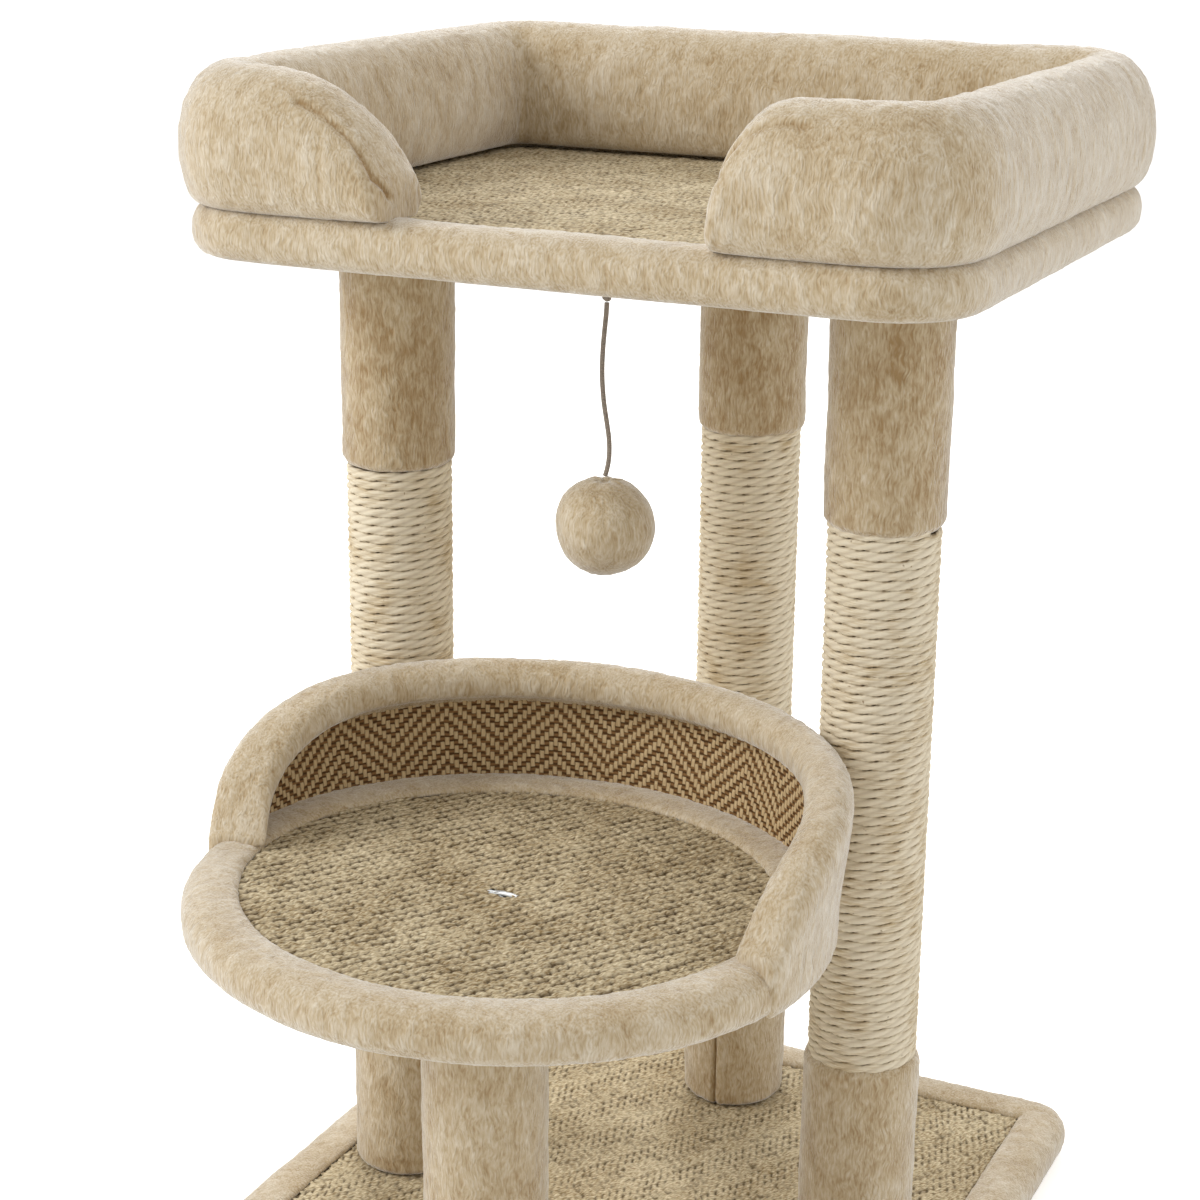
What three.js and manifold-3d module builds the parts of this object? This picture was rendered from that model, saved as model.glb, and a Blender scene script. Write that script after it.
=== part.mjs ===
// A cat tree: a plush-edged base, three sisal-wound posts, a round perch with a back wall on a
// short post, a bed with a bolster on top, and a toy ball that hangs on a cord under the bed.
// Millimetres, +Z up. The origin is on the floor, under the middle of the base.

import * as THREE from 'three';
import { mergeVertices } from 'three/addons/utils/BufferGeometryUtils.js';
import Module from 'manifold-3d';

const wasm = await Module();
wasm.setup();

// ---------- driving dimensions ----------

const gap = 0.3;                     // clearance between pieces that touch
const through = 1;                   // how far a cutter runs past the face it opens
const radians = Math.PI / 180;

// Every panel is a board in a plush wrap, with a woven mat let in on top and a lining below.
const wrap = {
  hem: 3,                            // thickness turned under the board, and of the lining
  hemWidth: 25,                      // how far the hem reaches in under the board
  side: 8,                           // thickness around the board's edge
  rimWidth: 32,                      // plush showing between the panel's edge and its mat
  rimRise: 4,                        // how far the plush stands above the mat
  round: 12,                         // rounding of the panel's long edges
  mat: 4.4,                          // thickness of the woven mat
};

const base = { width: 485, depth: 560, corner: 24, board: 20 };
const bed = {
  overhang: 10,                      // past the base at its sides and back
  ahead: 143.5,                      // its front edge in front of the side posts' axes
  corner: 56,
  board: 20,
  underside: 686,
};
const perch = {
  halfWidth: 196,                    // along X, to the outside of the rim
  halfDepth: 184,                    // along Y
  board: 18,
  underside: 308,
  fromFront: 114,                    // its middle to the base's front edge
};

const post = {
  tubeRadius: 29,
  tubeWall: 4,
  ropeRadius: 35,                    // outside of the sisal winding
  sleeveRadius: 37.5,                // outside of the plush sleeves
  lowerSleeve: 162,                  // length of plush above the base mat
  upperSleeve: 148,                  // length of plush under the bed
  sideClearance: 4.8,                // sleeve to the base's rim, at its sides
  backClearance: 10.5,               // and at its back
  perchClearance: 3.5,               // side posts' rope to the perch wall's widest point
};
const shortPost = { sleeveRadius: 38.5, ahead: 29, boltBack: 19 };

const plugLength = 30;
const bolt = {
  shaftRadius: 4,
  headFlats: 13,
  headHeight: 5.5,
  flangeRadius: 11.5,
  flange: 1.6,
  grip: 26,                          // how far the shaft reaches into its plug
  baseSink: 8,                       // depth of the counterbore under the base board
  deckSink: 6,                       // depth of the counterbore in the perch and bed boards
};

// The perch's back wall, as distances out from the perch's edge and heights above its rim.
const wall = {
  rise: 78,                          // rim to the top of the roll
  reachRight: 104,                   // degrees from straight back to its right end
  reachLeft: 97,                     // and to its left end, which turns in sooner
  level: 46,                         // degrees to each side over which the top stays level
  fullness: 2.4,                     // how square its slope down to the ends is: 2 is an ellipse
  flare: 10,                         // how far the roll stands out past the panel's edge
  proud: 2,                          // how far its plush stands out past the rim's
  lean: 0.1,                         // outward lean of the bent board, per unit of height
  endRise: 12,                       // height left at its two ends
  capping: 8,                        // plush over the bent board's top
  rollWidth: 30,
  board: 4,                          // thickness of the bent board inside
  lining: 2.4,                       // thickness of the woven lining
  band: 24,                          // plush turned over the top, down to the lining
  steps: 28,
};

const bolster = {
  rise: 83,                          // above the bed's rim
  width: 60,                         // across its foot
  bulge: 6,                          // how far it stands out past the bed's edge
  cover: 5,                          // thickness of the plush
  slack: 1,                          // between the plush and the foam inside it
  taperLeft: 93,                     // length of its rounded left end
  taperRight: 38,
  fullness: 2.2,                     // how square the ends' curve is: 2 is an ellipse
  endSteps: [0, 0.06, 0.2, 0.42, 0.7, 1],
  endShare: 0.34,                    // share of the height left at the very end
  gapLeft: -95,                      // the way in, between its ends
  gapRight: 107,
};

const toy = {
  ahead: 36,                         // in front of the base's middle
  wire: 1,                           // staple wire radius
  span: 10,                          // between the staple's legs
  drop: 8,                           // staple crossbar below the bed
  legInBoard: 9,
  loopRadius: 4.2,
  loopTube: 1.2,
  knotRadius: 3,
  cordRadius: 1.5,
  ballRadius: 31,
};

// The toy cord's route from the knot to the ball: sideways offset and height.
const cordRoute = [
  [0.0, 664.2], [-0.3, 658], [-1.0, 650], [-1.7, 642], [-2.2, 634], [-2.5, 626], [-2.4, 618],
  [-1.9, 610], [-1.1, 602], [0.1, 594], [1.2, 587], [2.1, 580], [2.4, 573], [2.1, 567],
  [1.2, 561.5], [0.0, 556.8],
];
const cordPlane = 25 * radians;  // the cord bows in a plane turned this far from X

// ---------- sizes that follow ----------

const rimAndSleeve = wrap.rimWidth + post.sleeveRadius;
const sidePostX = base.width / 2 - rimAndSleeve - post.sideClearance;
const backPostY = base.depth / 2 - rimAndSleeve - post.backClearance;
const perchY = -base.depth / 2 + perch.fromFront;
const shortPostY = perchY - shortPost.ahead;
// The side posts' axes lie on the perch's outline, grown until its wall clears their rope.
const clearOfWall = wall.flare + post.ropeRadius + post.perchClearance;
const sideShare = Math.min(sidePostX / (perch.halfWidth + clearOfWall), 1);
const sidePostY = perchY + (perch.halfDepth + clearOfWall) * Math.sqrt(1 - sideShare ** 2);

const bedWidth = base.width + 2 * bed.overhang;
const bedBack = base.depth / 2 + bed.overhang;
const bedFront = sidePostY - bed.ahead;
const bedDepth = bedBack - bedFront;
const bedY = (bedFront + bedBack) / 2;

// Heights in a panel whose underside is at z.
function levels(z, boardThickness) {
  const boardLow = z + wrap.hem + gap;
  const boardTop = boardLow + boardThickness;
  const matTop = boardTop + gap + wrap.mat;
  return { low: z, boardLow, boardTop, matTop, rimTop: matTop + wrap.rimRise };
}
const baseAt = levels(0, base.board);
const perchAt = levels(perch.underside, perch.board);
const bedAt = levels(bed.underside, bed.board);

// ---------- materials ----------

const finish = (color, roughness, metalness = 0) =>
  () => new THREE.MeshStandardMaterial({ color, roughness, metalness });
const materials = {
  plush: finish('#d2c7b3', 0.95),
  sisalRope: finish('#b8ac98', 0.9),
  sisalMat: finish('#aa997f', 0.92),
  herringbone: finish('#846848', 0.92),
  chipboard: finish('#b79a72', 0.8),
  kraftTube: finish('#a58a66', 0.85),
  plugWood: finish('#c7ab7c', 0.75),
  lining: finish('#d9d2c4', 0.9),
  foam: finish('#e6dfce', 0.95),
  zinc: finish('#a9abac', 0.35, 0.9),
  cord: finish('#8f8478', 0.7),
};

// ---------- building blocks ----------

const tree = new THREE.Group();

// A closed geometry as a solid that can be cut and joined.
function solid(geometry) {
  const bare = geometry.clone();
  for (const name of ['normal', 'uv', 'uv1']) bare.deleteAttribute(name);
  const merged = mergeVertices(bare, 1e-4);
  return new wasm.Manifold(new wasm.Mesh({
    numProp: 3,
    vertProperties: new Float32Array(merged.attributes.position.array),
    triVerts: new Uint32Array(merged.index.array),
  }));
}

function geometryOf(body) {
  const mesh = body.getMesh();
  const geometry = new THREE.BufferGeometry();
  geometry.setAttribute('position', new THREE.BufferAttribute(mesh.vertProperties, 3));
  geometry.setIndex(new THREE.BufferAttribute(mesh.triVerts, 1));
  geometry.computeVertexNormals();
  return geometry;
}

function add(name, material, shape, parent = tree) {
  const geometry = shape.isBufferGeometry ? shape : geometryOf(shape);
  const mesh = new THREE.Mesh(geometry, material());
  mesh.name = name;
  parent.add(mesh);
  return mesh;
}

function cut(body, ...tools) {
  return tools.reduce((left, tool) => left.subtract(tool), body);
}

const postSides = 16;                // nested round pieces share their sides, so they never bind
const thinSides = 10;                // of wires and of the staple's holes
const boltSides = 12;

// A round piece about Z from its radius and height pairs, closed on itself or on the axis.
function turned(profile, segments = postSides) {
  const points = profile.map(([r, z]) => new THREE.Vector2(r, z));
  return new THREE.LatheGeometry([...points, points[0].clone()], segments).rotateX(Math.PI / 2);
}

const tube = (inner, outer, low, high, segments) =>
  turned([[inner, low], [outer, low], [outer, high], [inner, high]], segments);

// A tube whose outer rims are rounded off, as plush rolls in at a cut end.
const softTube = (inner, outer, low, high, round) => turned([
  [inner, low], [outer - round, low], [outer, low + round],
  [outer, high - round], [outer - round, high], [inner, high],
]);

const rod = (radius, low, high, x = 0, y = 0, segments = postSides) => solid(
  new THREE.CylinderGeometry(radius, radius, high - low, segments).rotateX(Math.PI / 2)
    .translate(x, y, (low + high) / 2),
);

function roundedRectangle(width, depth, corner, y) {
  const [w, d, r] = [width / 2, depth / 2, Math.max(corner, 2)];
  const shape = new THREE.Shape();
  shape.absarc(w - r, y + d - r, r, 0, Math.PI / 2);
  shape.absarc(-w + r, y + d - r, r, Math.PI / 2, Math.PI);
  shape.absarc(-w + r, y - d + r, r, Math.PI, Math.PI * 1.5);
  shape.absarc(w - r, y - d + r, r, Math.PI * 1.5, Math.PI * 2);
  shape.closePath();
  return shape;
}

function oval(halfWidth, halfDepth, y) {
  return new THREE.Shape().absellipse(0, y, halfWidth, halfDepth, 0, Math.PI * 2);
}

const roundSteps = 2;                // across a rounded long edge
const cornerSteps = 3;               // round a corner of the plan
const ovalSteps = 18;

// A flat piece between two heights, with its outline's long edges rounded by round.
function slab(outline, low, high, round = 0) {
  const geometry = new THREE.ExtrudeGeometry(outline, {
    depth: high - low - 2 * round,
    bevelEnabled: round > 0,
    bevelThickness: round,
    bevelSize: round,
    bevelOffset: -round,
    bevelSegments: roundSteps,
    curveSegments: outline.curves.length === 1 ? ovalSteps : cornerSteps,
  });
  return solid(geometry.translate(0, 0, low + round));
}

// A body through a row of closed sections. Each section is a plan point, the plan direction
// that its first coordinate runs along, and its points in that direction and in height, in
// anticlockwise order. Seen from above, the row runs anticlockwise about directions that point
// outwards, or clockwise about ones that point inwards.
function loft(sections) {
  const count = sections[0].points.length;
  const positions = sections.flatMap(({ at, along, points }) =>
    points.flatMap(([u, z]) => [at.x + along.x * u, at.y + along.y * u, z]));
  const faces = [];
  for (let i = 0; i + 1 < sections.length; i++) {
    for (let j = 0; j < count; j++) {
      const [a, b] = [i * count + j, i * count + (j + 1) % count];
      faces.push(a, b + count, b, a, a + count, b + count);
    }
  }
  const capOf = (section) => THREE.ShapeUtils.triangulateShape(
    section.points.map(([u, z]) => new THREE.Vector2(u, z)), []);
  const last = (sections.length - 1) * count;
  for (const [a, b, c] of capOf(sections[0])) faces.push(a, b, c);
  for (const [a, b, c] of capOf(sections.at(-1))) faces.push(last + a, last + c, last + b);
  const geometry = new THREE.BufferGeometry();
  geometry.setAttribute('position', new THREE.Float32BufferAttribute(positions, 3));
  geometry.setIndex(faces);
  return solid(geometry);
}

// ---------- panels ----------

// The board, mat, plush wrap and lining of one panel. outline(inset) is the panel's plan,
// drawn in by inset. Bolts pass at the points given, with their heads above or below.
function panel(prefix, outline, at, { bolts, headsBelow, holes = [], wrapCuts = [] }) {
  const sink = headsBelow ? bolt.baseSink : bolt.deckSink;
  const headHole = bolt.flangeRadius + 1;
  const shafts = bolts.map(([x, y]) => rod(bolt.shaftRadius + gap, at.low - through, at.rimTop, x, y));
  const sinks = bolts.map(([x, y]) => (headsBelow
    ? rod(headHole, at.low - through, at.boardLow + sink, x, y)
    : rod(headHole, at.boardTop - sink, at.rimTop, x, y)));

  const board = slab(outline(wrap.side + gap), at.boardLow, at.boardTop);
  add(`${prefix}_board`, materials.chipboard, cut(board, ...shafts, ...sinks, ...holes));

  const mat = slab(outline(wrap.rimWidth + gap), at.boardTop + gap, at.matTop);
  add(`${prefix}_mat`, materials.sisalMat, cut(mat, ...shafts, ...sinks));

  const pocket = slab(outline(wrap.side), at.low + wrap.hem, at.boardTop + gap);
  const matOpening = slab(outline(wrap.rimWidth), at.boardTop, at.rimTop + through);
  const liningOpening = slab(outline(wrap.hemWidth), at.low - through, at.boardLow);
  const outside = slab(outline(0), at.low, at.rimTop, wrap.round);
  add(`${prefix}_plush_wrap`, materials.plush,
    cut(outside, pocket, matOpening, liningOpening, ...wrapCuts));

  const lining = slab(outline(wrap.hemWidth + gap), at.low, at.low + wrap.hem);
  add(`${prefix}_lining`, materials.lining, cut(lining, ...shafts, ...sinks, ...holes));
}

// A flange bolt whose flange bears on a seat at z, with the head on the far side of it.
function flangeBolt(name, x, y, seat, length, headBelow) {
  const { shaftRadius, flangeRadius, flange, headFlats, headHeight } = bolt;
  const shank = solid(turned([
    [0, -length], [shaftRadius, -length], [shaftRadius, 0],
    [flangeRadius, 0], [flangeRadius, flange], [0, flange],
  ], boltSides));
  const head = solid(new THREE.CylinderGeometry(
    headFlats / Math.sqrt(3), headFlats / Math.sqrt(3), headHeight + flange, 6)
    .rotateX(Math.PI / 2).translate(0, 0, (headHeight + flange) / 2 + flange / 2));
  const mesh = add(name, materials.zinc, shank.add(head));
  mesh.position.set(x, y, seat);
  if (headBelow) mesh.rotation.x = Math.PI;
}

// ---------- posts ----------

// The tube, its end plugs and the bolts into them, between the base mat and a deck above.
function postCore(prefix, x, y, deck, deckBoltShift = 0) {
  const low = baseAt.matTop + gap;
  const high = deck.low - gap;
  const inside = post.tubeRadius - post.tubeWall - gap;
  const group = new THREE.Group();
  group.position.set(x, y, 0);
  tree.add(group);
  add(`${prefix}_core`, materials.kraftTube,
    tube(post.tubeRadius - post.tubeWall, post.tubeRadius, low, high), group);
  add(`${prefix}_bottom_plug`, materials.plugWood,
    tube(bolt.shaftRadius + gap, inside, low, low + plugLength), group);
  add(`${prefix}_top_plug`, materials.plugWood, cut(
    rod(inside, high - plugLength, high),
    rod(bolt.shaftRadius + gap, high - plugLength - through, high + through, 0, deckBoltShift),
  ), group);
  const baseSeat = baseAt.boardLow + bolt.baseSink - gap;
  const deckSeat = deck.boardTop - bolt.deckSink + gap;
  flangeBolt(`${prefix}_bottom_bolt`, x, y, baseSeat, low + bolt.grip - baseSeat, true);
  flangeBolt(`${prefix}_top_bolt`, x, y + deckBoltShift, deckSeat, deckSeat - high + bolt.grip, false);
  return { low, high, group };
}

const bore = post.tubeRadius + gap;
const rolled = 3;                    // rounding where a sleeve ends

function woundPost(prefix, x, y) {
  const { low, high, group } = postCore(prefix, x, y, bedAt);
  const ropeLow = baseAt.matTop + post.lowerSleeve;
  const ropeHigh = bedAt.low - post.upperSleeve;
  add(`${prefix}_lower_sleeve`, materials.plush,
    softTube(bore, post.sleeveRadius, low, ropeLow - gap, rolled), group);
  add(`${prefix}_sisal_rope`, materials.sisalRope,
    tube(bore, post.ropeRadius, ropeLow, ropeHigh), group);
  add(`${prefix}_upper_sleeve`, materials.plush,
    softTube(bore, post.sleeveRadius, ropeHigh + gap, high, rolled), group);
}

const longPosts = {
  left_post: [-sidePostX, sidePostY],
  right_post: [sidePostX, sidePostY],
  back_post: [0, backPostY],
};
for (const [prefix, [x, y]] of Object.entries(longPosts)) woundPost(prefix, x, y);

const short = postCore('short_post', 0, shortPostY, perchAt, shortPost.boltBack);
add('short_post_sleeve', materials.plush,
  softTube(bore, shortPost.sleeveRadius, short.low, short.high, rolled), short.group);

// ---------- base ----------

const baseOutline = (inset) => roundedRectangle(
  base.width - 2 * inset, base.depth - 2 * inset, base.corner - inset, 0);
panel('base', baseOutline, baseAt, {
  bolts: [...Object.values(longPosts), [0, shortPostY]],
  headsBelow: true,
});

// ---------- perch ----------

// How tall the wall stands at a bearing from straight back, as a share of its full rise.
function wallShare(bearing) {
  const reach = bearing < 0 ? wall.reachLeft : wall.reachRight;
  const slope = Math.min(Math.max(Math.abs(bearing) - wall.level, 0) / (reach - wall.level), 1);
  return Math.sqrt(Math.max(1 - slope ** wall.fullness, 0));
}

// A body around the perch, from its section(share) in distance out from the perch's edge and
// in height. It stops short of the wall's ends by skip steps, or runs past them by spare degrees.
function aroundPerch(section, { skip = 0, spare = 0 } = {}) {
  return loft(Array.from({ length: wall.steps + 1 - 2 * skip }, (_, i) => {
    const share = (i + skip) / wall.steps;
    const bearing = (wall.reachRight + spare) * (1 - share) - (wall.reachLeft + spare) * share;
    const [across, back] = [Math.sin(bearing * radians), Math.cos(bearing * radians)];
    const at = new THREE.Vector2(perch.halfWidth * across, perchY + perch.halfDepth * back);
    const along = new THREE.Vector2(across / perch.halfWidth, back / perch.halfDepth).normalize();
    return { at, along, points: section(wallShare(bearing)) };
  }));
}

const wallFace = (z) => wall.lean * Math.max(z - perchAt.rimTop, 0) - wrap.side;
const rollTop = (share) => perchAt.rimTop + wall.endRise + (wall.rise - wall.endRise) * share;
const bandLow = (share) => Math.max(rollTop(share) - wall.band, perchAt.rimTop + gap);

// The bent board, grown by spare on each face where it is used as a cutter.
function bentBoard(low, spare) {
  return (share) => {
    const top = rollTop(share) - wall.capping + spare;
    const inner = (z) => wallFace(z) + gap - spare;
    const outer = (z) => inner(z) + wall.board + 2 * spare;
    return [
      [inner(low), low], [outer(low), low], [outer(perchAt.rimTop), perchAt.rimTop],
      [outer(top), top], [inner(top), top], [inner(perchAt.rimTop), perchAt.rimTop],
    ];
  };
}

// The wall's plush: its outside, the roll at its top and the band turned in, filled up to
// the middle of the bent board.
function wallPlush(share) {
  const top = rollTop(share);
  const band = bandLow(share);
  const outer = wall.proud + (wall.flare - wall.proud) * share;
  const inner = outer - wall.rollWidth;
  const drop = Math.min(top - band, wall.rollWidth / 2);
  const core = wall.board / 2;
  return [
    [wallFace(0) + core, perchAt.low], [-2, perchAt.low],
    [wall.proud, perchAt.low + 8], [wall.proud, perchAt.rimTop],
    [outer, top - drop], [outer - 4, top - drop * 0.4], [outer - 11, top - drop * 0.08],
    [inner + 12, top], [inner + 4, top - drop * 0.25], [inner, top - drop * 0.75],
    [inner + 2, band], [wallFace(band) + core, band],
    [wallFace(perchAt.rimTop) + core, perchAt.rimTop],
  ];
}

function wallLining(share) {
  const [low, high] = [perchAt.rimTop + gap, bandLow(share) - gap];
  return [
    [wallFace(low) - wall.lining, low], [wallFace(low), low],
    [wallFace(high), high], [wallFace(high) - wall.lining, high],
  ];
}

const pastEnds = { spare: 0.3 };
const besideWall = aroundPerch(() => [
  [-wrap.side, perchAt.low - through], [wall.flare, perchAt.low - through],
  [wall.flare, perchAt.rimTop + through], [-wrap.side, perchAt.rimTop + through],
], pastEnds);
const boardRoom = aroundPerch(bentBoard(perchAt.low - through, gap), pastEnds);
add('perch_wall_board', materials.chipboard, aroundPerch(bentBoard(perchAt.boardLow, 0)));
add('perch_wall_lining', materials.herringbone, aroundPerch(wallLining, { skip: 2 }));
add('perch_wall_cover', materials.plush, cut(aroundPerch(wallPlush), boardRoom));

const perchOutline = (inset) => oval(perch.halfWidth - inset, perch.halfDepth - inset, perchY);
panel('perch', perchOutline, perchAt, {
  bolts: [[0, shortPostY + shortPost.boltBack]],
  headsBelow: false,
  wrapCuts: [besideWall],
});

// ---------- bed ----------

const bedOutline = (inset) => roundedRectangle(
  bedWidth - 2 * inset, bedDepth - 2 * inset, bed.corner - inset, bedY);
const toyY = -toy.ahead;
const stapleHoles = [-1, 1].map((side) => rod(
  toy.wire + gap, bedAt.low - through, bedAt.boardLow + toy.legInBoard + gap,
  side * toy.span / 2, toyY, thinSides));
panel('bed', bedOutline, bedAt, {
  bolts: Object.values(longPosts),
  headsBelow: false,
  holes: stapleHoles,
});

// The bed's edge from the left end of the way in, around the back, to its right end.
function bolsterPath() {
  const [w, r] = [bedWidth / 2, bed.corner];
  const [front, back] = [bedFront, bedBack];
  const path = new THREE.Path();
  path.moveTo(bolster.gapLeft, front);
  path.lineTo(-w + r, front);
  path.absarc(-w + r, front + r, r, -Math.PI / 2, -Math.PI, true);
  path.absarc(-w + r, back - r, r, Math.PI, Math.PI / 2, true);
  path.absarc(w - r, back - r, r, Math.PI / 2, 0, true);
  path.absarc(w - r, front + r, r, 0, -Math.PI / 2, true);
  path.lineTo(bolster.gapRight, front);
  return path;
}

// The bolster's section: distance in from the bed's edge and height above its rim.
function bolsterSection(share) {
  const { rise, width, bulge } = bolster;
  const h = rise * share;
  return [
    [3, 0], [width * 0.8, 0], [width * 0.88, h * 0.34], [width * 0.84, h * 0.68],
    [width * 0.66, h * 0.92], [width * 0.4, h], [width * 0.18, h * 0.96],
    [-bulge * 0.5, h * 0.78], [-bulge, h * 0.48], [-bulge * 0.7, h * 0.2],
  ];
}

// An anticlockwise outline with every side moved in by distance.
function drawnIn(points, distance) {
  return points.map(([x, y], i) => {
    const [before, after] = [points.at(i - 1), points[(i + 1) % points.length]];
    const arriving = new THREE.Vector2(before[1] - y, x - before[0]).normalize();
    const leaving = new THREE.Vector2(y - after[1], after[0] - x).normalize();
    const move = distance / (1 + arriving.dot(leaving));
    return [x + (arriving.x + leaving.x) * move, y + (arriving.y + leaving.y) * move];
  });
}

// The bolster drawn in by inset on every face but its foot, which goes down by foot.
function bolsterBody(inset, foot) {
  const path = bolsterPath();
  const ends = path.getCurveLengths();
  const total = ends.at(-1);
  const stops = bolster.endSteps.flatMap((step) => [
    inset + step * bolster.taperLeft, total - inset - step * bolster.taperRight]);
  path.curves.forEach((curve, i) => {
    const from = i ? ends[i - 1] : 0;
    const parts = curve.isEllipseCurve ? 5 : 1;
    for (let k = 0; k <= parts; k++) stops.push(from + (ends[i] - from) * k / parts);
  });
  const places = stops.filter((run) => run > inset - 1e-6 && run < total - inset + 1e-6)
    .sort((a, b) => a - b).filter((run, i, all) => !i || run - all[i - 1] > 0.1);
  return loft(places.map((run) => {
    const at = path.getPointAt(run / total);
    const tangent = path.getTangentAt(run / total);
    const along = new THREE.Vector2(tangent.y, -tangent.x);
    const fromEnd = Math.min(
      (run - inset) / bolster.taperLeft, (total - run - inset) / bolster.taperRight, 1);
    const share = Math.sqrt(Math.max(1 - (1 - fromEnd) ** bolster.fullness, 0));
    const section = drawnIn(bolsterSection(Math.max(share, bolster.endShare)), inset);
    for (const footPoint of section.slice(0, 2)) footPoint[1] = -foot;
    const points = section.map(([inward, height]) => [inward, bedAt.rimTop + gap + height]);
    return { at, along, points };
  }));
}

add('bolster_foam', materials.foam, bolsterBody(bolster.cover + bolster.slack, 0));
add('bolster_cover', materials.plush, cut(bolsterBody(0, 0), bolsterBody(bolster.cover, through)));

// ---------- toy ----------

const barZ = bedAt.low - toy.drop;
const loopZ = barZ + toy.wire + gap + toy.loopTube - toy.loopRadius;
const knotZ = loopZ - toy.loopRadius - toy.loopTube - gap - toy.knotRadius;
const cordEnds = [cordRoute[0][1], cordRoute.at(-1)[1]];

function wire(points, radius, sides, steps) {
  const section = new THREE.Shape().absarc(0, 0, radius, 0, Math.PI * 2);
  return new THREE.ExtrudeGeometry(section, {
    steps,
    curveSegments: sides / 2,
    extrudePath: new THREE.CatmullRomCurve3(points, false, 'centripetal'),
  });
}

const legTop = bedAt.boardLow + toy.legInBoard;
const half = toy.span / 2;
const staple = solid(new THREE.CylinderGeometry(toy.wire, toy.wire, toy.span, thinSides)
  .rotateZ(Math.PI / 2).translate(0, toyY, barZ))
  .add(rod(toy.wire, barZ, legTop, -half, toyY, thinSides))
  .add(rod(toy.wire, barZ, legTop, half, toyY, thinSides));
add('toy_staple', materials.zinc, staple);
add('toy_loop', materials.cord,
  new THREE.TorusGeometry(toy.loopRadius, toy.loopTube, 6, 14).rotateY(Math.PI / 2)
    .translate(0, toyY, loopZ));
add('toy_knot', materials.cord,
  new THREE.SphereGeometry(toy.knotRadius, 10, 6).translate(0, toyY, knotZ));
add('toy_cord', materials.cord, wire(cordRoute.map(([side, z]) => new THREE.Vector3(
  side * Math.cos(cordPlane), toyY + side * Math.sin(cordPlane), z)), toy.cordRadius, 8, 18));
add('toy_ball', materials.plush,
  new THREE.SphereGeometry(toy.ballRadius, 20, 12).rotateX(Math.PI / 2)
    .translate(0, toyY, cordEnds[1] - gap - toy.ballRadius));

export default tree;
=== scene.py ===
import math

import bmesh
import bpy
import numpy as np
from mathutils import Matrix, Vector


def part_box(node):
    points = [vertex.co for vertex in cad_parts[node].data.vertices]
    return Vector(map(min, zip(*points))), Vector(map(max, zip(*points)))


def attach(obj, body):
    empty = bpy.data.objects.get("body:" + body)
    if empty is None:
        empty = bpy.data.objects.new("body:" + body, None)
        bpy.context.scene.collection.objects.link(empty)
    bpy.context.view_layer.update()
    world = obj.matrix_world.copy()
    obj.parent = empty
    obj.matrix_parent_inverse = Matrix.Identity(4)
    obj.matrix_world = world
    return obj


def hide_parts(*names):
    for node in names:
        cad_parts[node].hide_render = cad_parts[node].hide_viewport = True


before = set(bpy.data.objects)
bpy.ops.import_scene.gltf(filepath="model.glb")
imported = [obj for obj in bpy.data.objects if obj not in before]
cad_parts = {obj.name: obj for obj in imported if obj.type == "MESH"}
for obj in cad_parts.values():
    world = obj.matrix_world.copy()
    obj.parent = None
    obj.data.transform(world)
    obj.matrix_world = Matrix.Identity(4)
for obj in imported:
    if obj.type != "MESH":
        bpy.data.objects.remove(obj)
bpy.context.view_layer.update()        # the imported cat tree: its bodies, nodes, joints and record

mm = 0.001
world = bpy.context.scene.world or bpy.data.worlds.new("studio")
collection = bpy.context.scene.collection


print("camera, light and floor")
shot = {
    "place": (0.64514, -1.39175, 0.94342),
    "around": 25.54,     # degrees to the right of straight ahead
    "above": 17.26,      # degrees above the horizon
    "roll": 0.56,
    "lens": 75.7,
    "sensor": 36,
}
studio = {
    "sky": 0.75,         # even light from all round
    "key": 60,           # large soft window on the left
    "back": 46,          # softer window behind, on the left
    "fill": 16,          # open side of the room, on the right
    "floor": "#f7f7f6",
    "glow": 0.45,        # burns the floor out to white where it is seen
}


def placeCamera():
    around, above, roll = (math.radians(shot[k]) for k in ("around", "above", "roll"))
    back = Vector((math.sin(around) * math.cos(above), -math.cos(around) * math.cos(above), math.sin(above)))
    level = Vector((math.cos(around), math.sin(around), 0))
    upright = back.cross(level)
    right = math.cos(roll) * level + math.sin(roll) * upright
    up = math.cos(roll) * upright - math.sin(roll) * level
    lens = bpy.data.cameras.new("camera")
    lens.lens = shot["lens"]
    lens.sensor_width = shot["sensor"]
    camera = bpy.data.objects.new("camera", lens)
    collection.objects.link(camera)
    turn = Matrix((right, up, back)).transposed().to_4x4()
    camera.matrix_world = Matrix.Translation(shot["place"]) @ turn
    bpy.context.scene.camera = camera


def softLight(name, place, aim, size, power, colour=(1, 1, 1)):
    light = bpy.data.lights.new(name, "AREA")
    light.shape = "DISK"
    light.size = size
    light.energy = power
    light.color = colour
    lamp = bpy.data.objects.new(name, light)
    lamp.location = place
    lamp.rotation_euler = (Vector(aim) - Vector(place)).to_track_quat("-Z", "Y").to_euler()
    collection.objects.link(lamp)


def add(tree, kind, links=None, **settings):
    # One node, its settings, and for each of its sockets a value or what is linked to it.
    made = tree.nodes.new(kind)
    for name, value in settings.items():
        setattr(made, name, value)
    for socket, source in (links or {}).items():
        if isinstance(source, bpy.types.NodeSocket):
            tree.links.new(source, made.inputs[socket])
        else:
            made.inputs[socket].default_value = source
    return made


def linear(code, alpha=1.0):
    parts = [int(code[i:i + 2], 16) / 255 for i in (1, 3, 5)]
    return tuple(c / 12.92 if c <= 0.04045 else ((c + 0.055) / 1.055) ** 2.4 for c in parts) + (alpha,)


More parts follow.
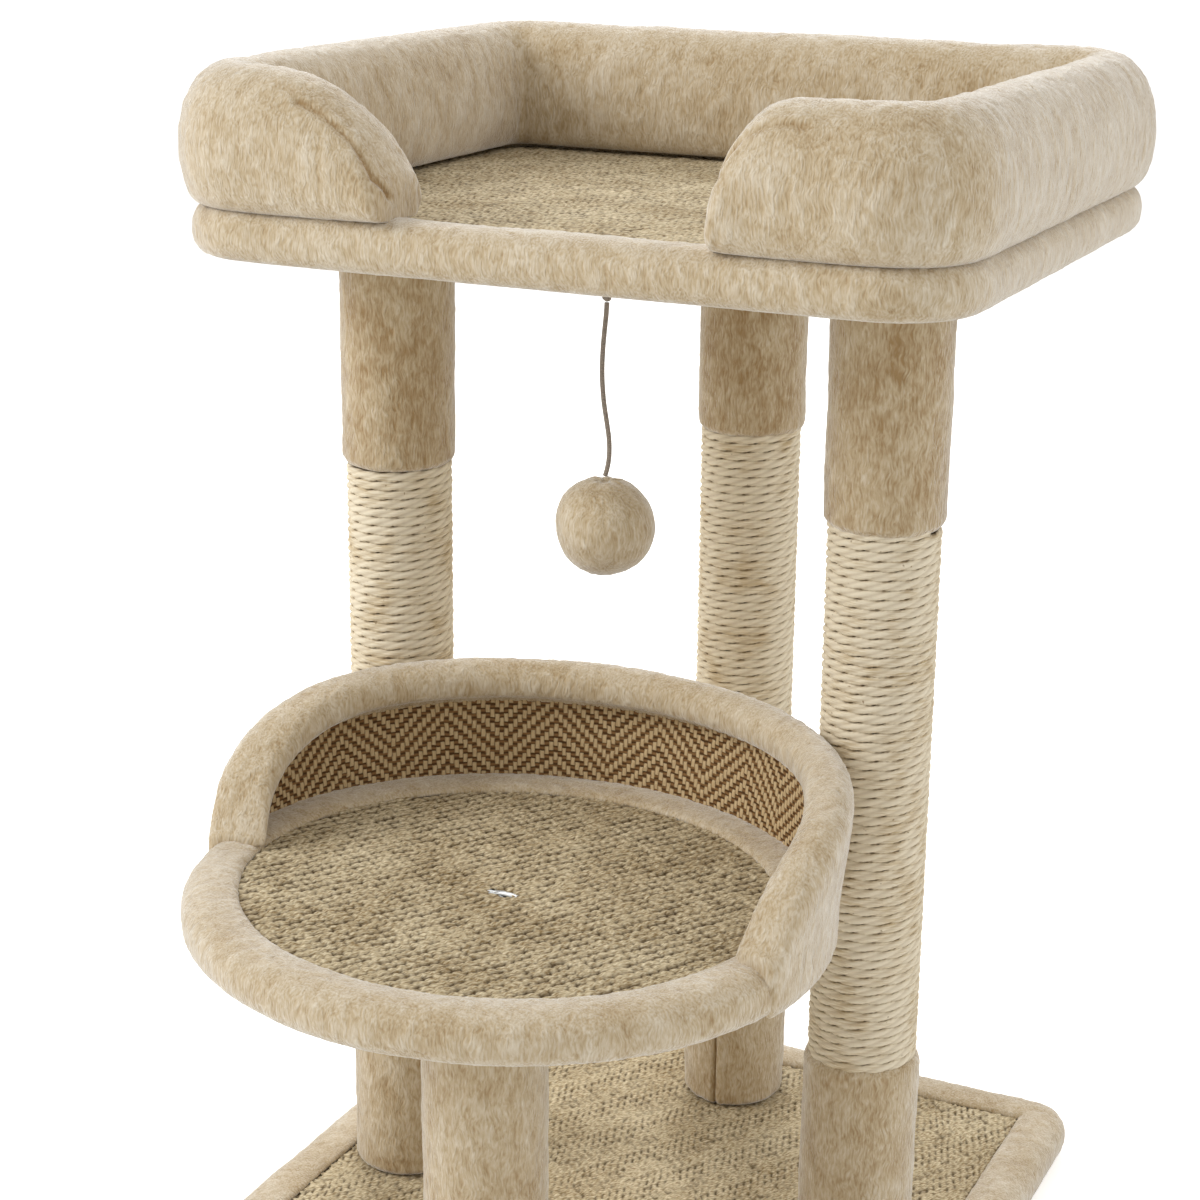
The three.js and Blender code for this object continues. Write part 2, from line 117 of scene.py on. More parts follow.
def lightWorld():
    # White where the camera looks, and a softer white as the light on the object.
    bpy.context.scene.world = world
    world.use_nodes = True
    tree = world.node_tree
    tree.nodes.clear()
    path = add(tree, "ShaderNodeLightPath")
    seen = add(tree, "ShaderNodeBackground", {"Color": (1, 1, 1, 1), "Strength": 1.0})
    lit = add(tree, "ShaderNodeBackground", {"Color": (1, 0.985, 0.96, 1), "Strength": studio["sky"]})
    both = add(tree, "ShaderNodeMixShader", {0: path.outputs["Is Camera Ray"],
                                             1: lit.outputs[0], 2: seen.outputs[0]})
    add(tree, "ShaderNodeOutputWorld", {"Surface": both.outputs[0]})


def layFloor():
    mesh = bpy.data.meshes.new("floor")
    bm = bmesh.new()
    bmesh.ops.create_grid(bm, x_segments=1, y_segments=1, size=30)
    bm.to_mesh(mesh)
    bm.free()
    floor = bpy.data.objects.new("floor", mesh)
    collection.objects.link(floor)
    paint = bpy.data.materials.new("studio_floor")
    paint.use_nodes = True
    shader = paint.node_tree.nodes["Principled BSDF"]
    shader.inputs["Base Color"].default_value = linear(studio["floor"])
    shader.inputs["Roughness"].default_value = 0.9
    shader.inputs["Emission Color"].default_value = (1, 1, 1, 1)
    path = add(paint.node_tree, "ShaderNodeLightPath")
    glow = add(paint.node_tree, "ShaderNodeMath", {0: path.outputs["Is Camera Ray"], 1: studio["glow"]},
               operation="MULTIPLY")
    paint.node_tree.links.new(glow.outputs[0], shader.inputs["Emission Strength"])
    mesh.materials.append(paint)


placeCamera()
lightWorld()
layFloor()
softLight("window", (-2.4, -1.5, 2.2), (0, 0, 0.45), 1.8, studio["key"], (1, 0.995, 0.985))
softLight("back_window", (-1.1, 2.3, 2.2), (0, 0, 0.4), 1.8, studio["back"], (1, 0.99, 0.975))
softLight("room", (2.5, 0.9, 1.9), (0, 0, 0.3), 2.2, studio["fill"])
bpy.context.scene.view_settings.view_transform = "Standard"


def middleOf(name):
    low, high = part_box(name)
    return (low + high) / 2


def newPiece(name, bm):
    mesh = bpy.data.meshes.new(name)
    bm.to_mesh(mesh)
    bm.free()
    piece = bpy.data.objects.new(name, mesh)
    collection.objects.link(piece)
    return piece


def closeUp(bm):
    # Merges the doubles that a full turn leaves, and faces the skin outwards.
    bmesh.ops.remove_doubles(bm, verts=bm.verts, dist=0.01 * mm)
    bmesh.ops.recalc_face_normals(bm, faces=bm.faces)


def writeUv(bm, where):
    # The pattern's own coordinates, from a table of each vertex's place on the cloth.
    layer = bm.loops.layers.uv.new("weave")
    for face in bm.faces:
        for loop in face.loops:
            loop[layer].uv = where[loop.vert]


def smooth(piece):
    piece.data.polygons.foreach_set("use_smooth", [True] * len(piece.data.polygons))
    piece.data.update()
    return piece


def settle(piece):
    # The piece's modifiers, applied to its mesh.
    bpy.context.view_layer.update()
    graph = bpy.context.evaluated_depsgraph_get()
    made = bpy.data.meshes.new_from_object(piece.evaluated_get(graph))
    piece.modifiers.clear()
    old = piece.data
    piece.data = made
    bpy.data.meshes.remove(old)
    return smooth(piece)


def subdivide(piece, levels):
    finer = piece.modifiers.new("finer", "SUBSURF")
    finer.levels = levels
    finer.render_levels = levels
    return settle(piece)


def pointsOf(piece):
    points = np.empty(len(piece.data.vertices) * 3, np.float32)
    piece.data.vertices.foreach_get("co", points)
    return points.reshape(-1, 3).astype(float)


def normalsOf(piece):
    normals = np.empty(len(piece.data.vertices) * 3, np.float32)
    piece.data.vertex_normals.foreach_get("vector", normals)
    return normals.reshape(-1, 3).astype(float)


def movePoints(piece, points):
    piece.data.vertices.foreach_set("co", points.astype(np.float32).ravel())
    piece.data.update()


def writeShare(piece, name, values):
    layer = piece.data.attributes.get(name) or piece.data.attributes.new(name, "FLOAT", "POINT")
    layer.data.foreach_set("value", values.astype(np.float32))


def readShare(piece, name):
    values = np.empty(len(piece.data.vertices), np.float32)
    piece.data.attributes[name].data.foreach_get("value", values)
    return values.astype(float)


def softNoise(points, grain, seed):
    # Smooth noise from -1 to 1 whose lumps are about grain across.
    size = 32
    lattice = np.random.default_rng(seed).uniform(-1, 1, (size, size, size))
    at = points / grain
    cell = np.floor(at).astype(int)
    part = at - cell
    part = part * part * (3 - 2 * part)
    total = np.zeros(len(points))
    for corner in range(8):
        step = np.array([corner & 1, corner >> 1 & 1, corner >> 2 & 1])
        weight = np.prod(np.where(step, part, 1 - part), axis=1)
        x, y, z = ((cell + step) % size).T
        total += weight * lattice[x, y, z]
    return total


def sweep(name, rings, closed):
    # A section carried from ring to ring. rings hold (point, share of pile) pairs, all as many.
    bm = bmesh.new()
    pile = bm.verts.layers.float.new("pile")
    corners = []
    for point, share in rings[0]:
        corner = bm.verts.new(point)
        corner[pile] = share
        corners.append(corner)
    edges = [bm.edges.new((corners[i - 1], corners[i])) for i in range(len(corners))]
    firstEdges = edges
    for ring in rings[1:]:
        number = {corner: i for i, corner in enumerate(corners)}
        made = bmesh.ops.extrude_edge_only(bm, edges=edges)["geom"]
        edges = [e for e in made if isinstance(e, bmesh.types.BMEdge)]
        for vert in (v for v in made if isinstance(v, bmesh.types.BMVert)):
            source = next(e.other_vert(vert) for e in vert.link_edges if e.other_vert(vert) in number)
            corners[number[source]] = vert
        for corner, (point, share) in zip(corners, ring):
            corner.co = point
            corner[pile] = share
    if closed:
        bmesh.ops.bridge_loops(bm, edges=firstEdges + edges)
    else:
        bmesh.ops.holes_fill(bm, edges=firstEdges + edges, sides=0)
    bmesh.ops.recalc_face_normals(bm, faces=bm.faces)
    return newPiece(name, bm)


print("finishes")


def newFinish(name):
    # A material, its tree and its Object coordinates.
    material = bpy.data.materials.new(name)
    material.use_nodes = True
    tree = material.node_tree
    return material, tree, add(tree, "ShaderNodeTexCoord").outputs["Object"]


def wire(material, colour, bump, **same):
    # Links the colour and the bump, and sets what is the same all over: roughness, specular and so on.
    tree = material.node_tree
    shader = tree.nodes["Principled BSDF"]
    tree.links.new(colour, shader.inputs["Base Color"])
    if bump:
        tree.links.new(bump.outputs[0], shader.inputs["Normal"])
    for name, value in same.items():
        shader.inputs[name.replace("_", " ")].default_value = value
    return material


# Polyester plush, knitted with a short pile: tufts catch the light pale at their tips and go
# golden at their roots, and the nap gives a soft sheen at grazing angles.
plush = {
    "root": "#9a7f59",
    "middle": "#bcaa8c",
    "tip": "#d9cfbd",
    "patch": 30 * mm,
    "patchy": 0.45,      # how strongly the patches and the fibres change the tone
    "grainy": 1.2,
    "fibre": 1.3 * mm,   # a lock of a few fibres, since one alone is too fine to show
    "drawn": 0.2,        # how far a lock is drawn out down the nap
    "swirl": 14 * mm,    # size of the swirls that the nap was brushed into, and their reach
    "turned": 6 * mm,
    "bump": 0.9 * mm,
    "sheen": 1.0,
}


def plushFinish():
    material, tree, place = newFinish("short_pile_plush")
    pile = add(tree, "ShaderNodeAttribute", attribute_name="pile").outputs["Fac"]
    patch = add(tree, "ShaderNodeTexNoise", {"Vector": place, "Scale": 1 / plush["patch"], "Detail": 2.0})
    swirl = add(tree, "ShaderNodeTexNoise", {"Vector": place, "Scale": 1 / plush["swirl"], "Detail": 1.0})
    turned = add(tree, "ShaderNodeVectorMath", {
        0: swirl.outputs["Color"], 1: (plush["turned"],) * 3, 2: place}, operation="MULTIPLY_ADD")
    drawn = add(tree, "ShaderNodeMapping", {"Vector": turned.outputs[0], "Scale": (1, 1, plush["drawn"])})
    fibre = add(tree, "ShaderNodeTexNoise", {
        "Vector": drawn.outputs[0], "Scale": 1 / plush["fibre"], "Detail": 2.0})
    depth = add(tree, "ShaderNodeMath", {0: patch.outputs["Fac"], 1: 0.5}, operation="SUBTRACT")
    shade = add(tree, "ShaderNodeMath", {0: depth.outputs[0], 1: plush["patchy"], 2: pile},
                operation="MULTIPLY_ADD")
    grain = add(tree, "ShaderNodeMath", {0: fibre.outputs["Fac"], 1: 0.5}, operation="SUBTRACT")
    tone = add(tree, "ShaderNodeMath", {0: grain.outputs[0], 1: plush["grainy"], 2: shade.outputs[0]},
               operation="MULTIPLY_ADD")
    ramp = add(tree, "ShaderNodeValToRGB", {"Fac": tone.outputs[0]})
    ramp.color_ramp.elements[0].color = linear(plush["root"])
    ramp.color_ramp.elements[1].color = linear(plush["tip"])
    between = ramp.color_ramp.elements.new(0.45)
    between.color = linear(plush["middle"])
    bump = add(tree, "ShaderNodeBump", {"Height": fibre.outputs["Fac"], "Distance": plush["bump"]})
    return wire(material, ramp.outputs["Color"], bump, Roughness=0.95, Specular_IOR_Level=0.15,
                Sheen_Weight=plush["sheen"], Sheen_Roughness=0.4, Sheen_Tint=(1, 1, 1, 1))


# Three-strand sisal rope: dull straw-coloured plant fibre with a few darker flecks, and painted shade, darker
# and browner, in the grooves between its strands and its turns.
sisal = {"length": 14 * mm, "width": 0.7 * mm, "patch": 26 * mm, "fleck": 3.2 * mm}


def ropeFinish():
    material, tree, place = newFinish("twisted_sisal_rope")
    along = add(tree, "ShaderNodeMapping", {
        "Vector": place, "Scale": (1 / sisal["length"], 1 / sisal["length"], 1 / sisal["width"])})
    fibre = add(tree, "ShaderNodeTexNoise", {"Vector": along.outputs[0], "Scale": 1.0, "Detail": 3.0})
    patch = add(tree, "ShaderNodeTexNoise", {"Vector": place, "Scale": 1 / sisal["patch"], "Detail": 2.0})
    fleck = add(tree, "ShaderNodeTexNoise", {"Vector": place, "Scale": 1 / sisal["fleck"], "Detail": 1.0})
    tone = add(tree, "ShaderNodeMath", {0: fibre.outputs["Fac"], 1: patch.outputs["Fac"]}, operation="ADD")
    ramp = add(tree, "ShaderNodeValToRGB", {"Fac": tone.outputs[0]})
    ramp.color_ramp.elements[0].position = 0.7
    ramp.color_ramp.elements[0].color = linear("#c6b391")
    ramp.color_ramp.elements[1].position = 1.0
    ramp.color_ramp.elements[1].color = linear("#e3d8c1")
    # The lay attribute carries painted shade: between the turns of the winding and in the grooves between
    # strands.
    lay = add(tree, "ShaderNodeAttribute", attribute_name="lay").outputs["Fac"]
    darkening = add(tree, "ShaderNodeMapRange", {"Value": fleck.outputs["Fac"], "From Min": 0.76, "From Max": 0.8})
    fleckAndShade = add(tree, "ShaderNodeMath", {0: darkening.outputs[0], 1: 0.6, 2: lay}, operation="MULTIPLY_ADD",
               use_clamp=True)
    colour = add(tree, "ShaderNodeMix", {0: fleckAndShade.outputs[0], 6: ramp.outputs["Color"], 7: linear("#806540")},
                 data_type="RGBA")
    bump = add(tree, "ShaderNodeBump", {"Height": fibre.outputs["Fac"], "Distance": 0.35 * mm})
    return wire(material, colour.outputs[2], bump, Roughness=0.85, Specular_IOR_Level=0.25)


# Woven sisal matting: thick yarns in slanting rows, with painted shade, nearly black, in the small gap at
# each crossing.
weave = {"row": 7.4 * mm, "stitch": 6.0 * mm, "slant": 0.35, "angle": 58}


def matFinish():
    material, tree, place = newFinish("woven_sisal_mat")
    uv = add(tree, "ShaderNodeUVMap", uv_map="weave").outputs[0]
    gapShade = add(tree, "ShaderNodeAttribute", attribute_name="gapShade").outputs["Fac"]
    twisted = add(tree, "ShaderNodeMapping", {"Vector": uv, "Rotation": (0, 0, 0.6), "Scale": (0.35, 1, 1)})
    fibre = add(tree, "ShaderNodeTexNoise", {"Vector": twisted.outputs[0], "Scale": 1 / (1.2 * mm),
                                             "Detail": 1.0})
    patch = add(tree, "ShaderNodeTexNoise", {"Vector": place, "Scale": 1 / (45 * mm), "Detail": 3.0})
    both = add(tree, "ShaderNodeMath", {0: patch.outputs["Fac"], 1: 0.35, 2: fibre.outputs["Fac"]},
               operation="MULTIPLY_ADD")
    yarn = add(tree, "ShaderNodeValToRGB", {"Fac": both.outputs[0]})
    yarn.color_ramp.elements[0].position = 0.45
    yarn.color_ramp.elements[0].color = linear("#8a744f")
    yarn.color_ramp.elements[1].position = 0.9
    yarn.color_ramp.elements[1].color = linear("#dccfb1")
    colour = add(tree, "ShaderNodeMix", {0: gapShade, 6: yarn.outputs["Color"], 7: linear("#3d2c14")},
                 data_type="RGBA")
    bump = add(tree, "ShaderNodeBump", {"Height": fibre.outputs["Fac"], "Distance": 0.9 * mm})
    return wire(material, colour.outputs[2], bump, Roughness=0.9, Specular_IOR_Level=0.2)


# Herringbone twill in coarse jute: light floats over a dark ground, in steps that turn back.
# A light float fills floatShare of the pitch on each side of its middle.
twill = {"turn": 36 * mm, "column": 3.0 * mm, "pitch": 9.6 * mm, "wander": 1.6 * mm, "floatShare": 0.28}


def herringboneFinish():
    material, tree, place = newFinish("herringbone_jute")
    uv = add(tree, "ShaderNodeUVMap", uv_map="weave").outputs[0]
    wander = add(tree, "ShaderNodeTexNoise", {"Vector": place, "Scale": 1 / (6 * mm), "Detail": 1.0})
    centred = add(tree, "ShaderNodeVectorMath", {0: wander.outputs["Color"], 1: (0.5, 0.5, 0.5)},
                  operation="SUBTRACT")
    uneven = add(tree, "ShaderNodeVectorMath", {0: centred.outputs[0], 1: (twill["wander"],) * 3, 2: uv},
                 operation="MULTIPLY_ADD")
    axes = add(tree, "ShaderNodeSeparateXYZ", {0: uneven.outputs[0]})
    column = add(tree, "ShaderNodeMath", {0: axes.outputs[0], 1: twill["column"]}, operation="SNAP")
    zigzag = add(tree, "ShaderNodeMath", {0: column.outputs[0], 1: twill["turn"]}, operation="PINGPONG")
    climb = add(tree, "ShaderNodeMath", {0: axes.outputs[1], 1: zigzag.outputs[0]}, operation="ADD")
    stepped = add(tree, "ShaderNodeMath", {0: climb.outputs[0], 1: 1 / twill["pitch"]}, operation="MULTIPLY")
    within = add(tree, "ShaderNodeMath", {0: stepped.outputs[0]}, operation="FRACT")
    light = add(tree, "ShaderNodeMath", {0: within.outputs[0], 1: 0.5}, operation="SUBTRACT")
    away = add(tree, "ShaderNodeMath", {0: light.outputs[0]}, operation="ABSOLUTE")
    over = add(tree, "ShaderNodeMapRange", {"Value": away.outputs[0], "From Min": twill["floatShare"] + 0.03,
                                          "From Max": twill["floatShare"] - 0.03},
               interpolation_type="SMOOTHSTEP")
    # The light floats go darker towards their sides: painted shade on the round of each thread, which also
    # shapes the bump.
    across = add(tree, "ShaderNodeMath", {0: axes.outputs[0], 1: 1 / twill["column"]}, operation="MULTIPLY")
    side = add(tree, "ShaderNodeMath", {0: across.outputs[0]}, operation="FRACT")
    middle = add(tree, "ShaderNodeMath", {0: side.outputs[0], 1: 0.5}, operation="SUBTRACT")
    edge = add(tree, "ShaderNodeMath", {0: middle.outputs[0]}, operation="ABSOLUTE")
    rounded = add(tree, "ShaderNodeMapRange", {"Value": edge.outputs[0], "From Min": 0.5, "From Max": 0.3,
                                              "To Min": 0.3})
    drawn = add(tree, "ShaderNodeMapping", {"Vector": place, "Scale": (1, 1, 0.3)})
    fibre = add(tree, "ShaderNodeTexNoise", {
        "Vector": drawn.outputs[0], "Scale": 1 / (1.0 * mm), "Detail": 2.0})
    pale = add(tree, "ShaderNodeMix", {0: fibre.outputs["Fac"], 6: linear("#b0936a"), 7: linear("#dac59e")},
               data_type="RGBA")
    weft = add(tree, "ShaderNodeMath", {0: axes.outputs[1], 1: twill["column"] / 2}, operation="PINGPONG")
    thread = add(tree, "ShaderNodeMapRange", {"Value": weft.outputs[0], "From Max": twill["column"] / 2})
    dark = add(tree, "ShaderNodeMix", {0: thread.outputs[0], 6: linear("#402a12"), 7: linear("#8d6a43")},
               data_type="RGBA")
    top = add(tree, "ShaderNodeMath", {0: over.outputs[0], 1: rounded.outputs[0]}, operation="MULTIPLY")
    colour = add(tree, "ShaderNodeMix", {0: top.outputs[0], 6: dark.outputs[2], 7: pale.outputs[2]},
                 data_type="RGBA")
    bump = add(tree, "ShaderNodeBump", {"Height": top.outputs[0], "Distance": 0.6 * mm})
    return wire(material, colour.outputs[2], bump, Roughness=0.85, Specular_IOR_Level=0.2)


# Chipboard: pressed wood flakes, each with its own tone, under a dull cut face.
def chipboardFinish():
    material, tree, place = newFinish("pressed_chipboard")
    flake = add(tree, "ShaderNodeTexVoronoi", {"Vector": place, "Scale": 1 / (3.5 * mm)})
    tone = add(tree, "ShaderNodeMix", {0: flake.outputs["Distance"], 6: linear("#c9a878"),
                                      7: linear("#a07f52")}, data_type="RGBA")
    speck = add(tree, "ShaderNodeMix", {0: 0.25, 6: tone.outputs[2], 7: flake.outputs["Color"]},
                data_type="RGBA", blend_type="SOFT_LIGHT")
    bump = add(tree, "ShaderNodeBump", {"Height": flake.outputs["Distance"], "Distance": 0.2 * mm})
    return wire(material, speck.outputs[2], bump, Roughness=0.8)


# Wound kraft paper tube: brown card with the fine slant of its spiral plies.
def paperTubeFinish():
    material, tree, place = newFinish("wound_kraft_paper")
    ply = add(tree, "ShaderNodeTexWave", {"Vector": place, "Scale": 1 / (70 * mm), "Distortion": 1.0},
              bands_direction="Z")
    fibre = add(tree, "ShaderNodeTexNoise", {"Vector": place, "Scale": 1 / (1.5 * mm), "Detail": 3.0})
    mixed = add(tree, "ShaderNodeMath", {0: ply.outputs["Fac"], 1: 0.3, 2: fibre.outputs["Fac"]},
                operation="MULTIPLY_ADD")
    colour = add(tree, "ShaderNodeMix", {0: mixed.outputs[0], 6: linear("#8d6f4b"), 7: linear("#b3956d")},
                 data_type="RGBA")
    bump = add(tree, "ShaderNodeBump", {"Height": fibre.outputs["Fac"], "Distance": 0.1 * mm})
    return wire(material, colour.outputs[2], bump, Roughness=0.75)


# Turned pine plug: pale softwood with darker growth rings.
def plugWoodFinish():
    material, tree, place = newFinish("turned_pine")
    ring = add(tree, "ShaderNodeTexWave", {"Vector": place, "Scale": 1 / (9 * mm), "Distortion": 2.5,
                                           "Detail": 2.0}, wave_type="RINGS", rings_direction="X")
    colour = add(tree, "ShaderNodeMix", {0: ring.outputs["Fac"], 6: linear("#d9bd8b"), 7: linear("#b48e5a")},
                 data_type="RGBA")
    bump = add(tree, "ShaderNodeBump", {"Height": ring.outputs["Fac"], "Distance": 0.1 * mm})
    return wire(material, colour.outputs[2], bump, Roughness=0.6)


# Non-woven lining felt: matt, with a faint embossed grid of weld points.
def liningFinish():
    material, tree, place = newFinish("spunbond_lining")
    weld = add(tree, "ShaderNodeTexVoronoi", {"Vector": place, "Scale": 1 / (3.0 * mm), "Randomness": 0.0})
    point = add(tree, "ShaderNodeMapRange", {"Value": weld.outputs["Distance"], "From Min": 0.18,
                                             "From Max": 0.34})
    fibre = add(tree, "ShaderNodeTexNoise", {"Vector": place, "Scale": 1 / (4 * mm), "Detail": 4.0})
    tone = add(tree, "ShaderNodeMath", {0: point.outputs[0], 1: fibre.outputs["Fac"]}, operation="MULTIPLY")
    colour = add(tree, "ShaderNodeMix", {0: tone.outputs[0], 6: linear("#b5ac9a"), 7: linear("#ddd6c6")},
                 data_type="RGBA")
    bump = add(tree, "ShaderNodeBump", {"Height": tone.outputs[0], "Distance": 0.25 * mm})
    return wire(material, colour.outputs[2], bump, Roughness=0.9)


# Open-cell foam: matt cream with fine pores, each darkened inside as painted shade.
def foamFinish():
    material, tree, place = newFinish("open_cell_foam")
    pore = add(tree, "ShaderNodeTexVoronoi", {"Vector": place, "Scale": 1 / (1.4 * mm)})
    colour = add(tree, "ShaderNodeMix", {0: pore.outputs["Distance"], 6: linear("#b9ad8c"),
                                        7: linear("#efe8d6")}, data_type="RGBA")
    bump = add(tree, "ShaderNodeBump", {"Height": pore.outputs["Distance"], "Distance": 0.4 * mm})
    return wire(material, colour.outputs[2], bump, Roughness=0.95)


# Zinc-plated steel: bluish grey, satin, with the faint mottle of the plating.
def zincFinish():
    material, tree, place = newFinish("zinc_plated_steel")
    mottle = add(tree, "ShaderNodeTexNoise", {"Vector": place, "Scale": 1 / (2.5 * mm), "Detail": 4.0})
    colour = add(tree, "ShaderNodeMix", {0: mottle.outputs["Fac"], 6: linear("#9fa4a8"),
                                        7: linear("#cfd2d3")}, data_type="RGBA")
    polish = add(tree, "ShaderNodeMapRange", {"Value": mottle.outputs["Fac"], "To Min": 0.25, "To Max": 0.45})
    tree.links.new(polish.outputs[0], tree.nodes["Principled BSDF"].inputs["Roughness"])
    return wire(material, colour.outputs[2], None, Metallic=1.0)


# Braided polyester cord: taupe, with painted shade in the small gaps of its braid.
def cordFinish():
    material, tree, place = newFinish("braided_cord")
    braid = add(tree, "ShaderNodeTexVoronoi", {"Vector": place, "Scale": 1 / (0.9 * mm)})
    # Painted shade: darker towards the edges of each braid cell, where the braid sinks.
    colour = add(tree, "ShaderNodeMix", {0: braid.outputs["Distance"], 6: linear("#a3978a"),
                                        7: linear("#6d6258")}, data_type="RGBA")
    bump = add(tree, "ShaderNodeBump", {"Height": braid.outputs["Distance"], "Distance": 0.2 * mm},
               invert=True)
    return wire(material, colour.outputs[2], bump, Roughness=0.7)


finishes = {
    "plush": plushFinish(),
    "sisal_rope": ropeFinish(),
    "sisal_mat": matFinish(),
    "herringbone": herringboneFinish(),
    "chipboard": chipboardFinish(),
    "paper_tube": paperTubeFinish(),
    "plug_wood": plugWoodFinish(),
    "lining_cloth": liningFinish(),
    "foam": foamFinish(),
    "zinc_steel": zincFinish(),
    "toy_cord": cordFinish(),
}


cadFinishes = {
    "_core": "paper_tube", "_plug": "plug_wood", "_bolt": "zinc_steel", "_staple": "zinc_steel",
    "_board": "chipboard", "_foam": "foam",
}


def finishCadNodes():
    # The CAD nodes that keep their shape take their finish from the last word of their names.
    for name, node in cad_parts.items():
        for ending, slot in cadFinishes.items():
            if name.endswith(ending):
                node.data.materials.clear()
                node.data.materials.append(finishes[slot])


finishCadNodes()


brush = {
    "swirl": 17 * mm,    # size and reach of the swirls that the locks follow
    "reach": 6 * mm,
    "uneven": 34 * mm,   # lumps in the padding below the pile
    "fineShare": 0.4,    # how much of a lock's height is its own finer locks
}


def brushPile(piece, depth, clump, seed, upright=0.35):
    # Raises the pile in soft locks, drawn out down the nap and curling where it was brushed, over
    # a slow unevenness of the padding below.
    points, normals = pointsOf(piece), normalsOf(piece)
    amount = readShare(piece, "pile") if "pile" in piece.data.attributes else np.ones(len(points))
    swirl = np.stack([softNoise(points, brush["swirl"], seed + k) for k in range(3)], 1) * brush["reach"]
    drawn = (points + swirl) * np.array([1, 1, upright])
    lock = softNoise(drawn, clump, seed + 3)
    small = softNoise(drawn, clump * 0.5, seed + 4)
    slow = softNoise(points, brush["uneven"], seed + 5)
    height = (1 - brush["fineShare"]) * lock + brush["fineShare"] * small
    lift = (0.5 * height + 0.45 * slow) * depth
    movePoints(piece, points + normals * (lift * amount)[:, None])
    writeShare(piece, "pile", np.clip(0.53 + 0.28 * height + 0.08 * slow, 0, 1))


def sewAlong(piece, line, width, depth):
    # A seam pressed into the pile along a line of points, with the pile standing up beside it.
    points, normals = pointsOf(piece), normalsOf(piece)
    line = np.array(line)
    nearest = np.full(len(points), 1.0)
    for start, end in zip(line, line[1:]):
        step = end - start
        share = np.clip((points - start) @ step / (step @ step), 0, 1)
        nearest = np.minimum(nearest, np.linalg.norm(points - start - share[:, None] * step, axis=1))
    groove = np.exp(-(nearest / width) ** 2)
    shoulder = np.exp(-((nearest - 2.6 * width) / (1.4 * width)) ** 2)
    movePoints(piece, points + normals * (0.25 * shoulder - groove)[:, None] * depth)
    writeShare(piece, "pile", np.clip(readShare(piece, "pile") - 0.75 * groove, 0, 1))


def dress(piece, slotName, *nodes, body="stand"):
    piece.data.materials.clear()
    piece.data.materials.append(finishes[slotName])
    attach(piece, body)
    if nodes:
        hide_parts(*nodes)
    return piece


class Outline:
    # A rounded rectangle seen from above, walked clockwise from the middle of its front edge.
    def __init__(self, low, high, corner):
        self.centre = Vector(((low.x + high.x) / 2, (low.y + high.y) / 2))
        self.half = Vector(((high.x - low.x) / 2, (high.y - low.y) / 2))
        self.corner = corner
        front = 2 * (self.half.x - corner)
        side = 2 * (self.half.y - corner)
        quarter = corner * math.pi / 2
        self.legs = [front / 2, quarter, side, quarter, front, quarter, side, quarter, front / 2]
        self.length = sum(self.legs)

    def at(self, run):
        # A function that gives the plan point at a distance in from the edge.
        run = run % self.length
        leg = 0
        while run > self.legs[leg] and leg < 8:
            run -= self.legs[leg]
            leg += 1
        signs = [(-1, -1), (-1, 1), (1, 1), (1, -1), (1, -1)][leg // 2]
        inner = self.half - Vector((self.corner, self.corner))
        hub = self.centre + Vector((inner.x * signs[0], inner.y * signs[1]))
        start = [(0, -1), (-1, 0), (0, 1), (1, 0), (0, -1)][leg // 2]
        outward = Vector(start)
        if leg % 2 == 0:
            ahead = Vector((outward.y, -outward.x))
            base = [self.centre - Vector((0, self.half.y)),
                    self.centre + Vector((-self.half.x, -inner.y)),
                    self.centre + Vector((-inner.x, self.half.y)),
                    self.centre + Vector((self.half.x, inner.y)),
                    self.centre + Vector((inner.x, -self.half.y))][leg // 2]
            return lambda inset: base + ahead * run - outward * inset
        turn = -run / self.corner
        outward = Vector((outward.x * math.cos(turn) - outward.y * math.sin(turn),
                          outward.x * math.sin(turn) + outward.y * math.cos(turn)))
        least = 2 * mm
        spread = Vector(signs)

        def place(inset):
            left = max(self.corner - inset, least)
            over = max(inset - self.corner + least, 0)
            return hub + outward * left - spread * over
        return place


class Oval:
    # The perch's plan, walked clockwise from straight ahead, and the wall that follows it.
    def __init__(self, low, high):
        self.centre = Vector(((low.x + high.x) / 2, (low.y + high.y) / 2))
        self.half = Vector(((high.x - low.x) / 2, (high.y - low.y) / 2))

    def at(self, share):
        turn = 2 * math.pi * share
        ray = Vector((-math.sin(turn), -math.cos(turn)))
        return lambda inset: self.centre + Vector((ray.x * (self.half.x - inset),
                                                   ray.y * (self.half.y - inset)))

    def atBearing(self, bearing):
        # A plan point at a distance out from the edge, at degrees from straight back.
        across, back = math.sin(math.radians(bearing)), math.cos(math.radians(bearing))
        point = self.centre + Vector((self.half.x * across, self.half.y * back))
        outward = Vector((across / self.half.x, back / self.half.y)).normalized()
        return lambda out: point + outward * out


wrap = {
    "rim": 32,           # plush showing round the mat
    "tuck": 2.5,         # how far the rim's roll lies over the mat's edge
    "hem": 25,           # reach of the hem under the board
    "side": 8,
    "clear": 0.3,        # gap to the board inside
    "corners": {"base": 24, "bed": 56},
    "hemThick": 3,
    "crown": 1.2,        # how much the rim is puffed up
    "pile": 1.4,
    "clump": 4,
}


